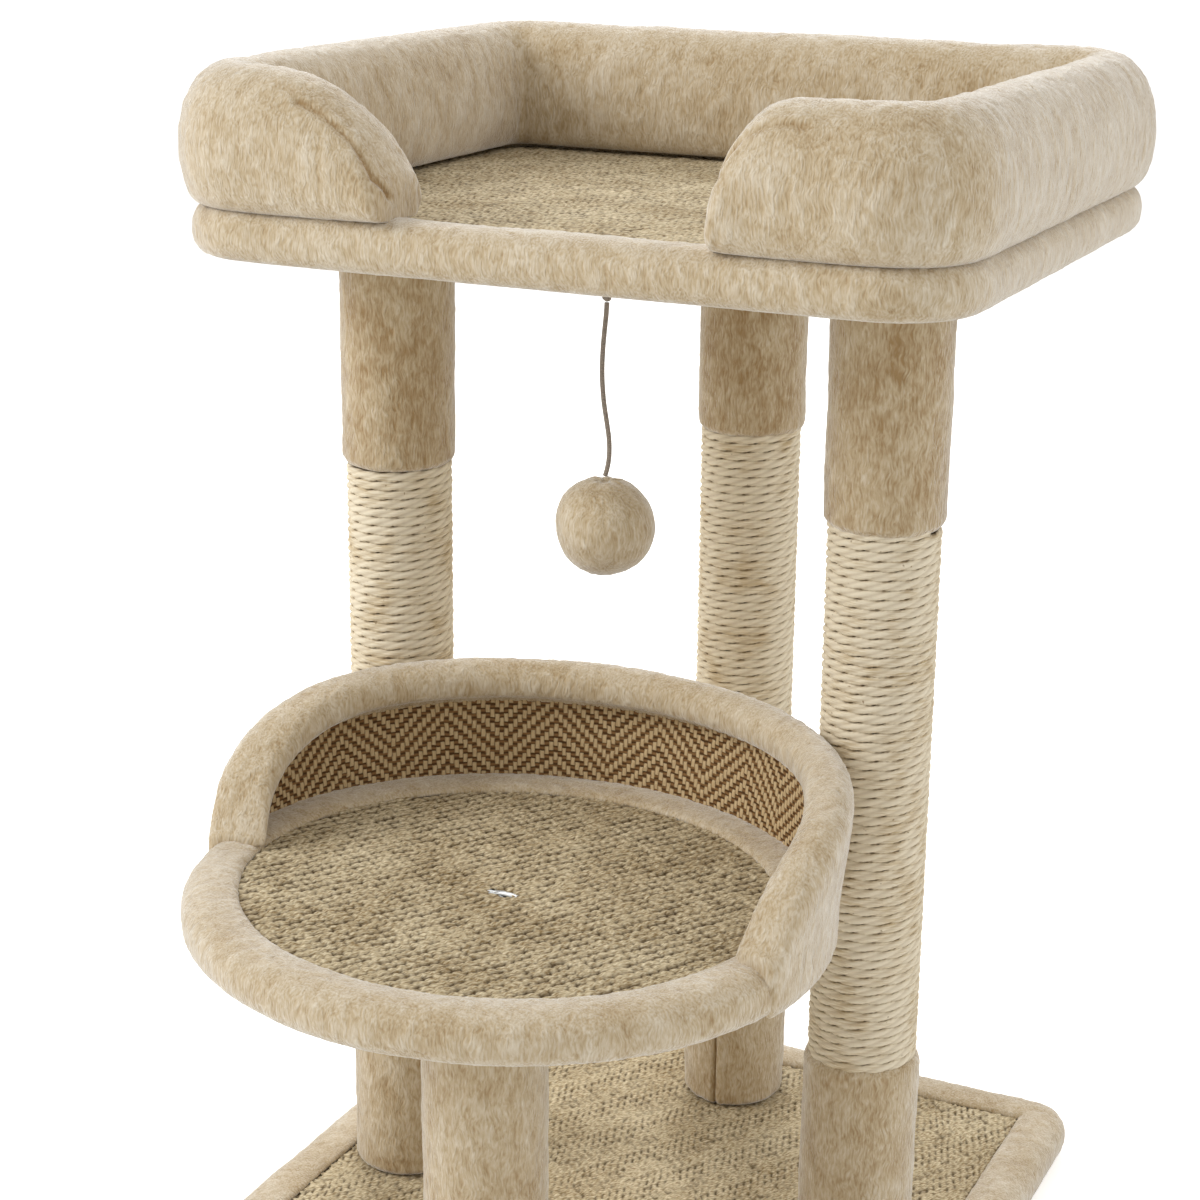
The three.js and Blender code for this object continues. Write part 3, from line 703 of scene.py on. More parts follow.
def wrapSection(low, boardTop, matTop, rimTop):
    # (distance in, height, share of pile), from the mat's edge over the rim to the hem.
    rim, hem, side, crown = (wrap[k] * mm for k in ("rim", "hem", "side", "crown"))
    tuck = wrap["tuck"] * mm
    middle = (low + rimTop) / 2
    return [
        (rim - 1 * mm, boardTop + 1 * mm, 0), (rim + tuck, matTop - 0.2 * mm, 0.6),
        (rim + tuck - 3 * mm, rimTop - 0.5 * mm, 1), (rim * 0.62, rimTop + crown, 1),
        (rim * 0.3, rimTop + crown * 0.6, 1), (1.5 * mm, rimTop - 5 * mm, 1),
        (-0.5 * mm, middle + 3 * mm, 1), (-0.5 * mm, middle - 6 * mm, 1),
        (4.5 * mm, low + 1.2 * mm, 0.5), (hem * 0.6, low, 0), (hem, low, 0),
        (hem, low + wrap["hemThick"] * mm, 0), (side, low + wrap["hemThick"] * mm, 0), (side, boardTop, 0),
    ]


def panelLevels(prefix):
    low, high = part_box(f"{prefix}_plush_wrap")
    return low.z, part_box(f"{prefix}_board")[1].z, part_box(f"{prefix}_mat")[1].z, high.z


def makeWrap(prefix, stations, seed):
    section = wrapSection(*panelLevels(prefix))
    rings = []
    for place in stations:
        rings.append([((*place(inset), z), share) for inset, z, share in section])
    piece = sweep(f"{prefix}_plush", rings, closed=True)
    subdivide(piece, 3)
    brushPile(piece, wrap["pile"] * mm, wrap["clump"] * mm, seed)
    return dress(piece, "plush", f"{prefix}_plush_wrap")


print("panel wraps")
baseOutline = Outline(*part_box("base_plush_wrap"), wrap["corners"]["base"] * mm)
bedOutline = Outline(*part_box("bed_plush_wrap"), wrap["corners"]["bed"] * mm)
perchBoardLow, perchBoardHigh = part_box("perch_board")
perchReach = Vector(((wrap["side"] + wrap["clear"]) * mm,) * 2).to_3d()
perchOval = Oval(perchBoardLow - perchReach, perchBoardHigh + perchReach)


def evenStations(outline, count):
    return [outline.at(outline.length * i / count) for i in range(count)]


perchStations = 84
makeWrap("base", evenStations(baseOutline, 106), 11)
makeWrap("bed", evenStations(bedOutline, 100), 23)
makeWrap("perch", [perchOval.at(i / perchStations) for i in range(perchStations)], 37)


wall = {
    "reachRight": 104,   # degrees from straight back to its right end
    "reachLeft": 97,
    "level": 46,         # degrees to each side that the roll stays level
    "slope": 2.4,        # how round the drop from there to its ends is
    "rise": 78,
    "endRise": 12,
    "leftEndRise": 6.5,  # its left end sinks into the rim
    "leftFlare": 6,      # and its left side stands straighter, under a wider roll
    "leftWidth": 39,
    "leftFrom": 30,      # degrees to the left where that change starts, and how many it takes
    "leftBlend": 50,
    # degrees past the wall's end, and the share of its section left there
    "endCap": ((0, 1), (0.6, 0.95), (1.2, 0.82), (1.6, 0.6)),
    "flare": 10,
    "proud": 2,
    "rollWidth": 30,
    "band": 24,
    "lean": 0.1,
    "lining": 2.4,
    "liningEnds": 12,    # degrees of the wall at each end that the lining leaves bare
    "liningSteps": (520, 40),
    "floatRelief": 0.6,
    "pile": 1.3,
    "clump": 4,
    "stations": 62,
}
perchLow, perchRimTop = (corner.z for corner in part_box("perch_plush_wrap"))


def wallShare(bearing):
    reach = wall["reachLeft" if bearing < 0 else "reachRight"]
    slope = max(abs(bearing) - wall["level"], 0) / (reach - wall["level"])
    return math.sqrt(1 - slope ** wall["slope"]) if slope < 1 else 0


def rollTop(share, left=False):
    endRise = wall["leftEndRise" if left else "endRise"]
    return perchRimTop + (endRise + (wall["rise"] - endRise) * share) * mm


def wallFace(z):
    return wall["lean"] * max(z - perchRimTop, 0) - wrap["side"] * mm


def bandLow(share, left=False):
    return max(rollTop(share, left) - wall["band"] * mm, perchRimTop + 0.3 * mm)


def wallSection(bearing):
    # (distance out, height, share of pile), from the outer hem up over the roll to its inner edge.
    share, left = wallShare(bearing), bearing < 0
    top, band = rollTop(share, left), bandLow(share, left)
    aside = min(max((-bearing - wall["leftFrom"]) / wall["leftBlend"], 0), 1)
    flare = wall["flare"] + (wall["leftFlare"] - wall["flare"]) * aside
    outer = (wall["proud"] + (flare - wall["proud"]) * share) * mm
    inner = outer - (wall["rollWidth"] + (wall["leftWidth"] - wall["rollWidth"]) * aside) * mm
    drop = min(top - band, wall["rollWidth"] / 2 * mm)
    proud = wall["proud"] * mm
    core = 2 * mm
    return [
        (wallFace(0) + core, perchLow + 0.5 * mm, 0), (-3 * mm, perchLow, 0.4),
        (proud, perchLow + 7 * mm, 1), (proud + 0.6 * mm, (perchLow + perchRimTop) / 2, 1),
        (proud + 0.4 * mm, perchRimTop, 1), ((proud + outer) / 2, (perchRimTop + top - drop) / 2, 1),
        (outer, top - drop, 1), (outer - 2 * mm, top - drop * 0.45, 1),
        (outer - 8 * mm, top - drop * 0.06, 1), (outer - 15 * mm, top + 0.6 * mm, 1),
        (inner + 8 * mm, top - drop * 0.08, 1),
        (inner + 1.5 * mm, top - drop * 0.45, 1), (inner, top - drop, 1),
        (inner + 2.5 * mm, band - 1 * mm, 0.6), (wallFace(band) + core, band + 2 * mm, 0),
        (wallFace(perchRimTop) + core, perchRimTop - 2 * mm, 0),
    ]


def makeWallCover():
    left, right = -wall["reachLeft"], wall["reachRight"]
    bearings = [(left - past, size) for past, size in reversed(wall["endCap"])]
    bearings += [(bearing, 1) for bearing in np.linspace(left, right, wall["stations"] + 1)[1:-1]]
    bearings += [(right + past, size) for past, size in wall["endCap"]]
    rings = []
    for bearing, size in bearings:
        place = perchOval.atBearing(bearing)
        section = np.array(wallSection(bearing))
        middle = section[:, :2].mean(axis=0)
        section[:, :2] = middle + (section[:, :2] - middle) * size
        rings.append([((*place(out), z), share) for out, z, share in section])
    piece = sweep("perch_wall_plush", rings, closed=False)
    subdivide(piece, 3)
    brushPile(piece, wall["pile"] * mm, wall["clump"] * mm, 51)
    dress(piece, "plush", "perch_wall_cover")


def makeWallLining():
    # A strip of twill bent round the inside of the wall, under the roll's edge.
    first, last = wall["liningEnds"] - wall["reachLeft"], wall["reachRight"] - wall["liningEnds"]
    across, up = wall["liningSteps"]
    bm = bmesh.new()
    bmesh.ops.create_grid(bm, x_segments=across, y_segments=up, size=0.5)
    run = np.linspace(first, last, 400)
    places = [perchOval.atBearing(b)(wallFace(perchRimTop)) for b in run]
    steps = [0] + [(places[i] - places[i - 1]).length for i in range(1, len(places))]
    lengths = np.cumsum(steps)
    where = {}
    for vert in bm.verts:
        bearing = first + (vert.co.x + 0.5) * (last - first)
        share = wallShare(bearing)
        low, high = perchRimTop - 1 * mm, bandLow(share) + 4 * mm
        z = low + (vert.co.y + 0.5) * (high - low)
        along = float(np.interp(bearing, run, lengths))
        column = math.floor(along / twill["column"]) * twill["column"]
        zigzag = abs((column + twill["turn"]) % (2 * twill["turn"]) - twill["turn"])
        ridge = abs(((z - low + zigzag) / twill["pitch"]) % 1 - 0.5)
        relief = wall["floatRelief"] * mm if ridge < twill["floatShare"] else 0
        where[vert] = (along, z - low)
        vert.co = (*perchOval.atBearing(bearing)(wallFace(z) - wall["lining"] * mm - relief), z)
    writeUv(bm, where)
    bmesh.ops.recalc_face_normals(bm, faces=bm.faces)
    piece = newPiece("perch_wall_twill", bm)
    smooth(piece)
    dress(piece, "herringbone", "perch_wall_lining")


print("perch wall")
makeWallCover()
makeWallLining()


mats = {
    "relief": 3.0,
    "wander": 1.3,             # how far the rows stray
    "least": 0.3,              # what is left of the mat under its deepest gaps
    "slit": (8, 1.5, -8),      # half length, half width and turn of the cut over each bolt
    "corners": {"bed": 24, "base": 2},
}


def inQuarter(offset, half, corner):
    # Whether a plan point is inside a rectangle whose corners are quarters of an ellipse.
    over = [max(abs(offset[i]) - half[i] + corner[i], 0) / corner[i] for i in range(2)]
    return over[0] ** 2 + over[1] ** 2 < 1


def makeMat(prefix, perStitch, perRow, corner, slits):
    # A grid laid along the rows, cut to the mat's outline, with every stitch raised.
    low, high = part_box(f"{prefix}_mat")
    half, centre = (high - low) / 2, (high + low) / 2
    turn = math.radians(weave["angle"])
    ahead, aside = Vector((math.cos(turn), math.sin(turn))), Vector((-math.sin(turn), math.cos(turn)))
    spacing = (weave["stitch"] / perStitch, weave["row"] / perRow)
    count = [math.ceil((half.x * abs(axis.x) + half.y * abs(axis.y)) / step) + 1
             for axis, step in zip((ahead, aside), spacing)]
    bm = bmesh.new()
    bmesh.ops.create_grid(bm, x_segments=2 * count[0], y_segments=2 * count[1], size=1)
    slitLength, slitWidth, slitTurn = mats["slit"]
    slitTurn = math.radians(slitTurn)
    slitAxes = (Vector((math.cos(slitTurn), math.sin(slitTurn))) / (slitLength * mm),
                Vector((-math.sin(slitTurn), math.cos(slitTurn))) / (slitWidth * mm))
    where, lost = {}, []
    for vert in bm.verts:
        along, across = vert.co.x * count[0] * spacing[0], vert.co.y * count[1] * spacing[1]
        where[vert] = (along + weave["slant"] * across + 1, across + 1)
        plan = ahead * along + aside * across
        vert.co = (centre.x + plan.x, centre.y + plan.y, high.z)
        cut = any(sum((vert.co.xy - slit.xy).dot(axis) ** 2 for axis in slitAxes) < 1 for slit in slits)
        if cut or not inQuarter(plan, half, corner):
            lost.append(vert)
    writeUv(bm, where)
    bmesh.ops.delete(bm, geom=lost, context="VERTS")
    piece = newPiece(f"{prefix}_woven_mat", bm)
    raiseStitches(piece, low.z, slits)
    dress(piece, "sisal_mat", f"{prefix}_mat")


def raiseStitches(piece, bottom, slits):
    # Each stitch is a rounded block, and every other row is shifted by half of one.
    uv = np.empty(len(piece.data.loops) * 2, np.float32)
    piece.data.uv_layers["weave"].data.foreach_get("uv", uv)
    corners = np.empty(len(piece.data.loops), int)
    piece.data.loops.foreach_get("vertex_index", corners)
    cloth = np.zeros((len(piece.data.vertices), 2))
    cloth[corners] = uv.reshape(-1, 2)
    row = np.floor(cloth[:, 1] / weave["row"])
    rib = np.abs(np.sin(np.pi * cloth[:, 1] / weave["row"])) ** 0.7
    shifted = cloth[:, 0] / weave["stitch"] + np.where(row % 2, 0.5, 0)
    stitch = np.abs(np.sin(np.pi * shifted)) ** 0.7
    points = pointsOf(piece)
    uneven = softNoise(points, 5 * mm, 75)
    height = (0.45 + 0.55 * rib) * (0.6 + 0.4 * stitch) + 0.18 * uneven
    # Painted shade: the colour goes dark where the weave sinks low between its stitches.
    writeShare(piece, "gapShade", np.clip((0.72 - height) / 0.26, 0, 0.95))
    for slit in slits:       # the yarn is pushed down at the cut and puckered up round it
        away = np.hypot(points[:, 0] - slit.x, points[:, 1] - slit.y)
        height += 0.35 * np.exp(-((away - 12 * mm) / (4 * mm)) ** 2) - 0.3 * np.exp(-(away / (6 * mm)) ** 2)
    points[:, 2] += (np.clip(height, 0, 1.2) - 0.85) * mats["relief"] * mm
    for axis in range(2):
        points[:, axis] += softNoise(points, 11 * mm, 70 + axis) * mats["wander"] * mm
    points[:, 2] = np.maximum(points[:, 2], bottom + mats["least"] * mm)
    movePoints(piece, points)
    smooth(piece)


print("woven mats")
perchMatLow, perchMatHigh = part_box("perch_mat")
sidePosts = ("left", "right", "back")
makeMat("perch", 4, 5, (perchMatHigh - perchMatLow).xy / 2, [middleOf("short_post_top_bolt")])
makeMat("bed", 3, 3, (mats["corners"]["bed"] * mm,) * 2,
        [middleOf(f"{side}_post_top_bolt") for side in sidePosts])
makeMat("base", 3, 3, (mats["corners"]["base"] * mm,) * 2, [])

clip = {
    "strips": ((20, 5.0, -3, 3.5), (19, 2.2, -14, -4)),   # length, width, turn, offset along X
    "thick": 0.9,
    "bow": 1.2,
    "edge": 0.25,
    "step": 0.4,               # the first strip lies this far above the mat, and each next one lower
}


def makeClip():
    # The bolt's spring clip, whose two crossed strips show in the cut in the perch's mat.
    centre = middleOf("short_post_top_bolt")
    bm = bmesh.new()
    for number, (length, width, turn, offset) in enumerate(clip["strips"]):
        above = perchMatHigh.z + clip["step"] * (1 - number) * mm
        turned = (Matrix.Translation((centre.x + offset * mm, centre.y, above))
                  @ Matrix.Rotation(math.radians(turn), 4, "Z"))
        for vert in bmesh.ops.create_grid(bm, x_segments=10, y_segments=2, size=0.5)["verts"]:
            bow = (0.3 - (2 * vert.co.x) ** 2) * clip["bow"] * mm
            vert.co = turned @ Vector((vert.co.x * length * mm, vert.co.y * width * mm, bow))
    piece = newPiece("perch_bolt_clip", bm)
    thick = piece.modifiers.new("thickness", "SOLIDIFY")
    thick.thickness = clip["thick"] * mm
    rounded = piece.modifiers.new("rounded", "BEVEL")
    rounded.width = clip["edge"] * mm
    rounded.segments = 2
    settle(piece)
    dress(piece, "zinc_steel")


makeClip()


lining = {"thick": 1.0, "sag": 0.5, "lumps": 40, "corners": {"bed": 31, "base": 2}}


def makeLining(prefix, corner):
    # A square grid whose corners are drawn in to quarters of an ellipse, stapled flat to the board.
    low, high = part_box(f"{prefix}_lining")
    half, centre = (high - low) / 2, (high + low) / 2
    bm = bmesh.new()
    bmesh.ops.create_grid(bm, x_segments=60, y_segments=60, size=1)
    inner = Vector((half.x - corner[0], half.y - corner[1]))
    for vert in bm.verts:
        x, y = vert.co.x * half.x, vert.co.y * half.y
        overX, overY = max(abs(x) - inner.x, 0) / corner[0], max(abs(y) - inner.y, 0) / corner[1]
        if overX and overY:
            x = math.copysign(inner.x + corner[0] * overX * math.sqrt(1 - overY ** 2 / 2), x)
            y = math.copysign(inner.y + corner[1] * overY * math.sqrt(1 - overX ** 2 / 2), y)
        vert.co = (centre.x + x, centre.y + y, low.z + lining["thick"] * mm)
    bmesh.ops.recalc_face_normals(bm, faces=bm.faces)
    piece = newPiece(f"{prefix}_lining_cloth", bm)
    points = pointsOf(piece)
    points[:, 2] += softNoise(points, lining["lumps"] * mm, 80) * lining["sag"] * mm
    movePoints(piece, points)
    thick = piece.modifiers.new("thickness", "SOLIDIFY")
    thick.thickness = lining["thick"] * mm
    smooth(piece)
    dress(piece, "lining_cloth", f"{prefix}_lining")


print("linings")
perchLiningLow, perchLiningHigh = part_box("perch_lining")
makeLining("perch", (perchLiningHigh - perchLiningLow).xy / 2)
makeLining("bed", (lining["corners"]["bed"] * mm,) * 2)
makeLining("base", (lining["corners"]["base"] * mm,) * 2)


bolster = {
    "rise": 83,
    "bulge": 7,
    "taperLeft": 93,     # length of its rounded ends
    "taperRight": 38,
    "gapLeft": 95,
    "gapRight": 107,
    "endShare": 0.36,    # share of the height left where the end turns down
    "endRound": 7,
    "weltCorner": 5,     # the section's corner that the end panel's seam follows, over this many rings
    "weltRings": 8,
    "welt": (1.9, 2.4),  # width and depth of that seam
    "middle": 26,        # distance in from the bed's edge of the section's middle
    "clearEnd": 20,      # stations are even this far in from each end
    "endRuns": (0, 0.9, 2.6, 5.5, 10),
    "stations": 84,
    "pile": 1.8,
    "clump": 4.5,
}


def bolsterRings():
    # The section is (distance in from the bed's edge, share of the height, share of pile).
    rise, bulge = bolster["rise"] * mm, bolster["bulge"]
    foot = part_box("bolster_cover")[0].z
    start = bolster["gapLeft"] * mm
    total = bedOutline.length - start - bolster["gapRight"] * mm
    section = [
        (12, -0.03, 0), (0.5, -0.01, 0.5), (-bulge * 0.8, 0.17, 1), (-bulge, 0.42, 1),
        (-bulge * 0.7, 0.66, 1), (3, 0.86, 1), (13, 0.97, 1), (25, 1.02, 1), (37, 0.985, 1),
        (47, 0.88, 1), (53, 0.68, 1), (56, 0.44, 1), (55.5, 0.2, 1), (51, -0.01, 0.5), (42, -0.03, 0),
        (26, -0.03, 0),
    ]
    rings = []
    ends = np.array(bolster["endRuns"]) * mm / total
    clear = bolster["clearEnd"] * mm / total
    even = np.linspace(clear, 1 - clear, bolster["stations"])
    for step in np.concatenate((ends, even, 1 - ends[::-1])):
        run = step * total
        fromLeft, fromRight = run, total - run
        share = 1.0
        for distance, taper in ((fromLeft, bolster["taperLeft"]), (fromRight, bolster["taperRight"])):
            part = min(distance / (taper * mm), 1)
            share = min(share, math.sqrt(max(1 - (1 - part) ** 2.3, 0)))
        fromEnd = min(fromLeft, fromRight) / mm
        closing = math.sqrt(max(1 - max(1 - fromEnd / bolster["endRound"], 0) ** 2, 0))
        share = max(share, bolster["endShare"]) * (0.55 + 0.45 * closing)
        narrow = 0.62 + 0.38 * closing
        place = bedOutline.at(start + run)
        middle = bolster["middle"]
        rings.append([((*place((middle + (inset - middle) * narrow) * mm), foot + up * rise * share), pile)
                      for inset, up, pile in section])
    return rings


def makeBolster():
    rings = bolsterRings()
    piece = sweep("bed_bolster", rings, closed=False)
    subdivide(piece, 3)
    brushPile(piece, bolster["pile"] * mm, bolster["clump"] * mm, 91)
    width, depth = (size * mm for size in bolster["welt"])
    for end in (rings[:bolster["weltRings"]], rings[-bolster["weltRings"]:]):
        sewAlong(piece, [ring[bolster["weltCorner"]][0] for ring in end], width, depth)
    dress(piece, "plush", "bolster_cover")


print("bolster")
makeBolster()


rope = {
    "pitch": 6.0,
    "offset": 1.15,      # each strand's middle from the rope's own
    "strand": 1.86,      # radius of a strand
    "lay": 44,           # length of one full twist
    "flatten": 1.22,     # how far the turns are pressed together
    "tuckedTurns": 0.8,
    "sides": 12,
    "perTurn": 60,
    "sway": 0.03,        # how unevenly it is twisted
    "shade": 2.4,        # how deep the shade between the turns starts, and how fast it closes
    "shadeFade": 1.6,
    "windingTurn": 2.2,  # radians that each post's winding is turned from the last
}


def windRope():
    # One post's winding about the axis through its middle: three strands twisted round each other,
    # carried up a helix whose ends are tucked in under the sleeves.
    low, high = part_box("left_post_sisal_rope")
    middle = (low + high) / 2
    pitch, thick = rope["pitch"] * mm, rope["pitch"] / 2 * mm
    radius = (high.x - low.x) / 2 - thick
    turns = (high.z - low.z) / pitch - 1 + 2 * rope["tuckedTurns"]
    steps, sides = round(turns * rope["perTurn"]), rope["sides"]
    bm = bmesh.new()
    bmesh.ops.create_grid(bm, x_segments=steps, y_segments=sides, size=0.5)
    for vert in bm.verts:
        vert.co.x, vert.co.y = round((vert.co.x + 0.5) * steps), round((vert.co.y + 0.5) * sides)
    piece = newPiece("winding", bm)
    at = pointsOf(piece)
    sway = np.cumsum(np.random.default_rng(7).normal(0, rope["sway"], steps + 1))[at[:, 0].astype(int)]
    turn = 2 * math.pi * at[:, 0] / rope["perTurn"]
    angle = 2 * math.pi * (at[:, 1] % sides) / sides
    twist = 2 * math.pi * (turn * radius) / (rope["lay"] * mm) + sway
    offset, strand = rope["offset"] * mm, rope["strand"] * mm
    off = (angle + math.pi / 3) % (2 * math.pi / 3) - math.pi / 3      # from the nearest strand
    reach = offset * np.cos(off) + np.sqrt(strand ** 2 - (offset * np.sin(off)) ** 2)
    sideways, up = np.cos(angle + twist) * reach, np.sin(angle + twist) * reach
    height = low.z + thick + (turn / (2 * math.pi) - rope["tuckedTurns"]) * pitch
    movePoints(piece, np.stack([middle.x + np.cos(turn) * (radius + sideways),
                                middle.y + np.sin(turn) * (radius + sideways),
                                height + up * rope["flatten"]], 1))
    writeShare(piece, "groove", (offset + strand - reach) / offset)
    bm = bmesh.new()
    bm.from_mesh(piece.data)
    bmesh.ops.remove_doubles(bm, verts=bm.verts, dist=0.01 * mm)
    bmesh.ops.holes_fill(bm, edges=[e for e in bm.edges if e.is_boundary], sides=0)
    bmesh.ops.recalc_face_normals(bm, faces=bm.faces)
    bm.to_mesh(piece.data)
    bm.free()
    return piece, middle


def hangRopes():
    winding, about = windRope()
    for number, side in enumerate(sidePosts):
        low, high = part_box(f"{side}_post_sisal_rope")
        middle = (low + high) / 2
        mesh = winding.data.copy()
        mesh.transform(Matrix.Translation((middle.x, middle.y, 0))
                       @ Matrix.Rotation(rope["windingTurn"] * number, 4, "Z")
                       @ Matrix.Translation((-about.x, -about.y, 0)))
        coil = bpy.data.objects.new(f"{side}_post_rope", mesh)
        collection.objects.link(coil)
        points = pointsOf(coil)
        away = np.hypot(points[:, 0] - middle.x, points[:, 1] - middle.y)
        # Painted shade: darker where the rope lies in from its outer face, between its turns, and in the
        # grooves between its strands.
        inside = ((high.x - low.x) / 2 - rope["shade"] * mm - away) / (rope["shadeFade"] * mm)
        lay = np.clip(inside, 0, 1) + 0.5 * readShare(coil, "groove") ** 2
        writeShare(coil, "lay", np.clip(lay, 0, 1))
        smooth(coil)
        dress(coil, "sisal_rope", f"{side}_post_sisal_rope")
    bpy.data.objects.remove(winding)


sleeve = {
    "pile": 1.2,
    "clump": 4,
    "around": 20,        # steps round the post
    "step": 13,          # about as long as each step up it
    "wall": 8,
    "fold": (3.5, 0.3),  # how far its hems turn in, at the very end and just before it
    "foldSteps": (4, 6),
    "kept": 0.997,       # share of its radius that the finer steps keep
    "seam": 1.1,
    "seamDepth": 2.4,
}


def makeSleeve(name, seed, seamAt=None, darkening=0.1):
    # A plush tube about the post: a profile spun round its axis, finer steps and brushed pile.
    low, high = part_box(name)
    middle = (low + high) / 2
    outer = (high.x - low.x) / 2
    inner = outer - sleeve["wall"] * mm
    height = high.z - low.z
    count = max(3, round(height / (sleeve["step"] * mm)))
    hem, shoulder = (outer - size * mm for size in sleeve["fold"])
    early, late = (size * mm for size in sleeve["foldSteps"])
    profile = [(inner, low.z), (hem, low.z), (shoulder, low.z + early)]
    profile += [(outer, low.z + late + (height - 2 * late) * i / count) for i in range(count + 1)]
    profile += [(shoulder, high.z - early), (hem, high.z), (inner, high.z)]
    bm = bmesh.new()
    verts = [bm.verts.new((middle.x + r, middle.y, z)) for r, z in profile]
    edges = [bm.edges.new(pair) for pair in zip(verts, verts[1:])]
    edges.append(bm.edges.new((verts[-1], verts[0])))
    bmesh.ops.spin(bm, geom=verts + edges, cent=middle, axis=(0, 0, 1), angle=2 * math.pi,
                   steps=sleeve["around"], use_merge=True)
    closeUp(bm)
    piece = newPiece(f"{name}_plush", bm)
    subdivide(piece, 3)
    points = pointsOf(piece)
    away = np.hypot(points[:, 0] - middle.x, points[:, 1] - middle.y)
    scale = np.where(away > inner + 1 * mm, 1 / sleeve["kept"], 1)
    points[:, :2] = middle[:2] + (points[:, :2] - np.array(middle[:2])) * scale[:, None]
    movePoints(piece, points)
    writeShare(piece, "pile", (away > outer - 4 * mm).astype(float))
    brushPile(piece, sleeve["pile"] * mm, sleeve["clump"] * mm, seed, upright=0.4)
    writeShare(piece, "pile", readShare(piece, "pile") - darkening)      # a little darker all over; the upper sleeves are darker still, as painted shade under the bed
    if seamAt is not None:
        sewSeam(piece, middle, math.radians(seamAt))
    return dress(piece, "plush", name)


def sewSeam(piece, middle, bearing):
    # The crease where the sleeve's edges are sewn together down the post.
    points = pointsOf(piece)
    dx, dy = points[:, 0] - middle.x, points[:, 1] - middle.y
    off = np.angle(np.exp(1j * (np.arctan2(dy, dx) - bearing))) * np.hypot(dx, dy)
    groove = np.exp(-(off / (sleeve["seam"] * mm)) ** 2)
    shoulder = np.exp(-((np.abs(off) - 4 * mm) / (2.5 * mm)) ** 2)
    scale = 1 + (0.7 * shoulder - sleeve["seamDepth"] * groove) * mm / np.hypot(dx, dy)
    points[:, 0] = middle.x + dx * scale
    points[:, 1] = middle.y + dy * scale
    movePoints(piece, points)
    writeShare(piece, "pile", np.clip(readShare(piece, "pile") - 0.5 * groove, 0, 1))


print("posts")
makeSleeve("short_post_sleeve", 101)
seams = {"left": 100, "right": 120, "back": -90, "upper": 110}      # each seam's bearing, degrees
for number, side in enumerate(sidePosts):
    makeSleeve(f"{side}_post_lower_sleeve", 110 + number * 7, seams[side])
    # The upper sleeves sit under the bed, so their pile is darkened more: painted shade.
    makeSleeve(f"{side}_post_upper_sleeve", 140 + number * 7, seams["upper"], darkening=0.24)

hangRopes()


toy = {
    "cord": 3.0,
    "plane": 25,         # degrees from X of the plane that the cord bows in
    "pile": 1.0,
    "clump": 3.2,
    "lumps": (26, 0.9),          # grain and height of the stuffing's lumps
    "dimple": (5, 3.0),          # reach and depth of the dimple where the cord goes in
    "gather": (16, 1.2),         # and of the gathers round it
    "wrap": (1.1, 0.5),          # pitch and relief of the cord's turns in the knot
    # the cord's route from the knot to the ball: sideways offset and height
    "route": [
        (0.0, 664.2), (-0.3, 658), (-1.0, 650), (-1.7, 642), (-2.2, 634), (-2.5, 626), (-2.4, 618),
        (-1.9, 610), (-1.1, 602), (0.1, 594), (1.2, 587), (2.1, 580), (2.4, 573), (2.1, 567),
        (1.2, 561.5), (0.0, 556.8),
    ],
}


def hangCord():
    middle = middleOf("toy_ball")
    plane = math.radians(toy["plane"])
    route = [Vector((side * math.cos(plane) * mm, middle.y + side * math.sin(plane) * mm, z * mm))
             for side, z in toy["route"]]
    line = bpy.data.curves.new("toy_cord_line", "CURVE")
    line.dimensions = "3D"
    spline = line.splines.new("BEZIER")
    spline.bezier_points.add(len(route) - 1)
    for knot, place in zip(spline.bezier_points, route):
        knot.co = place
        knot.handle_left_type = knot.handle_right_type = "AUTO"
    line.bevel_depth = toy["cord"] / 2 * mm
    line.bevel_resolution = 4
    line.resolution_u = 6
    line.use_fill_caps = True
    cord = bpy.data.objects.new("toy_cord_braid", line)
    collection.objects.link(cord)
    dress(cord, "toy_cord", "toy_cord", body="toy")
    return cord, route


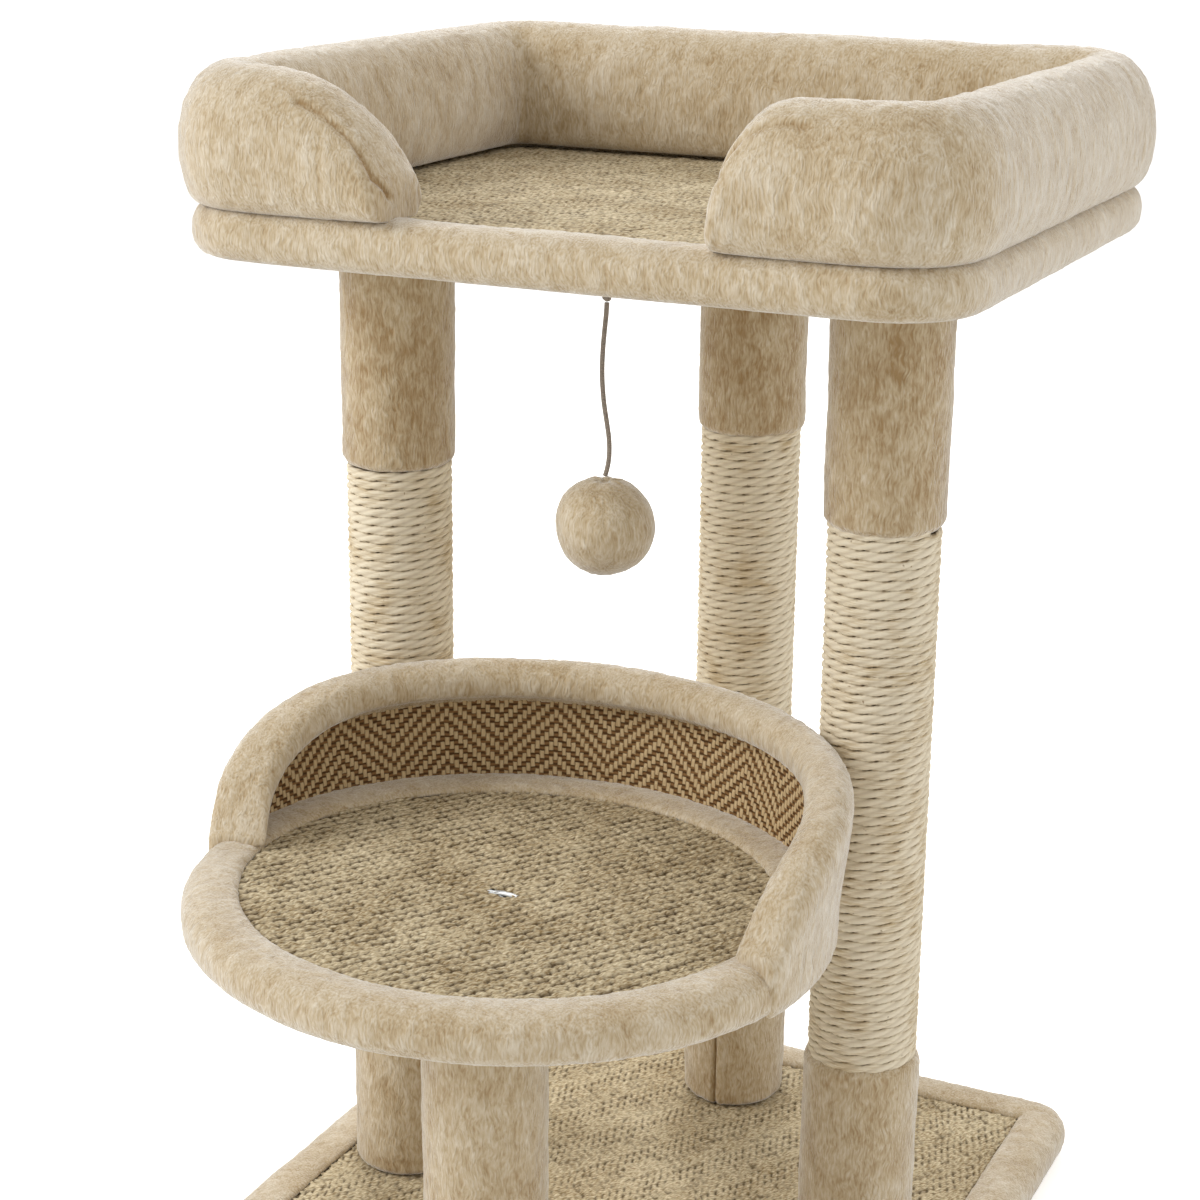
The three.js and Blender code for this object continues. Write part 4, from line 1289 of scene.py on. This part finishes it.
def roundPiece(name, node, finer):
    # A ball of the node's height, and the turn of each of its points about its upright axis.
    low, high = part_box(node)
    middle = (low + high) / 2
    bm = bmesh.new()
    bmesh.ops.create_icosphere(bm, subdivisions=finer, radius=(high.z - low.z) / 2,
                               matrix=Matrix.Translation(middle))
    piece = newPiece(name, bm)
    points = pointsOf(piece)
    return piece, points, np.arctan2(points[:, 1] - middle.y, points[:, 0] - middle.x)


def makeBall():
    ball, points, turn = roundPiece("toy_plush_ball", "toy_ball", 6)
    low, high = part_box("toy_ball")
    top = np.array(((low.x + high.x) / 2, (low.y + high.y) / 2, high.z))
    fromTop = np.linalg.norm(points - top, axis=1)
    (grain, lump), (dimpleReach, dimple), (gatherReach, gather) = (
        (reach * mm, depth * mm) for reach, depth in (toy["lumps"], toy["dimple"], toy["gather"]))
    down = np.exp(-(fromTop / dimpleReach) ** 2) * dimple
    down += np.exp(-(fromTop / gatherReach) ** 2) * np.abs(np.sin(turn * 3.5)) * gather
    points += normalsOf(ball) * (softNoise(points, grain, 5) * lump - down)[:, None]
    movePoints(ball, points)
    brushPile(ball, toy["pile"] * mm, toy["clump"] * mm, 171)
    smooth(ball)
    dress(ball, "plush", "toy_ball", body="toy")


def makeKnot():
    knot, points, turn = roundPiece("toy_cord_knot", "toy_knot", 4)
    pitch, relief = (size * mm for size in toy["wrap"])
    wraps = np.abs(np.sin((points[:, 2] - middleOf("toy_knot").z) / pitch + turn / 2))
    movePoints(knot, points + normalsOf(knot) * (wraps[:, None] - 0.8) * relief)
    smooth(knot)
    return dress(knot, "toy_cord", "toy_knot", body="toy")


def makeLoop():
    low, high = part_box("toy_loop")
    middle = (low + high) / 2
    thick = (high.x - low.x) / 2
    crown = Matrix.Translation((middle.x, middle.y, high.z - thick)) @ Matrix.Rotation(math.pi / 2, 4, "X")
    bm = bmesh.new()
    ring = bmesh.ops.create_circle(bm, segments=14, radius=thick, matrix=crown)["verts"]
    edges = list({e for v in ring for e in v.link_edges})
    bmesh.ops.spin(bm, geom=ring + edges, cent=middle, axis=(1, 0, 0), angle=2 * math.pi, steps=40,
                   use_merge=True)
    closeUp(bm)
    loop = newPiece("toy_cord_loop", bm)
    smooth(loop)
    dress(loop, "toy_cord", "toy_loop", body="hook")


print("toy")
toyCord, toyRoute = hangCord()
makeBall()
toyKnot = makeKnot()
makeLoop()
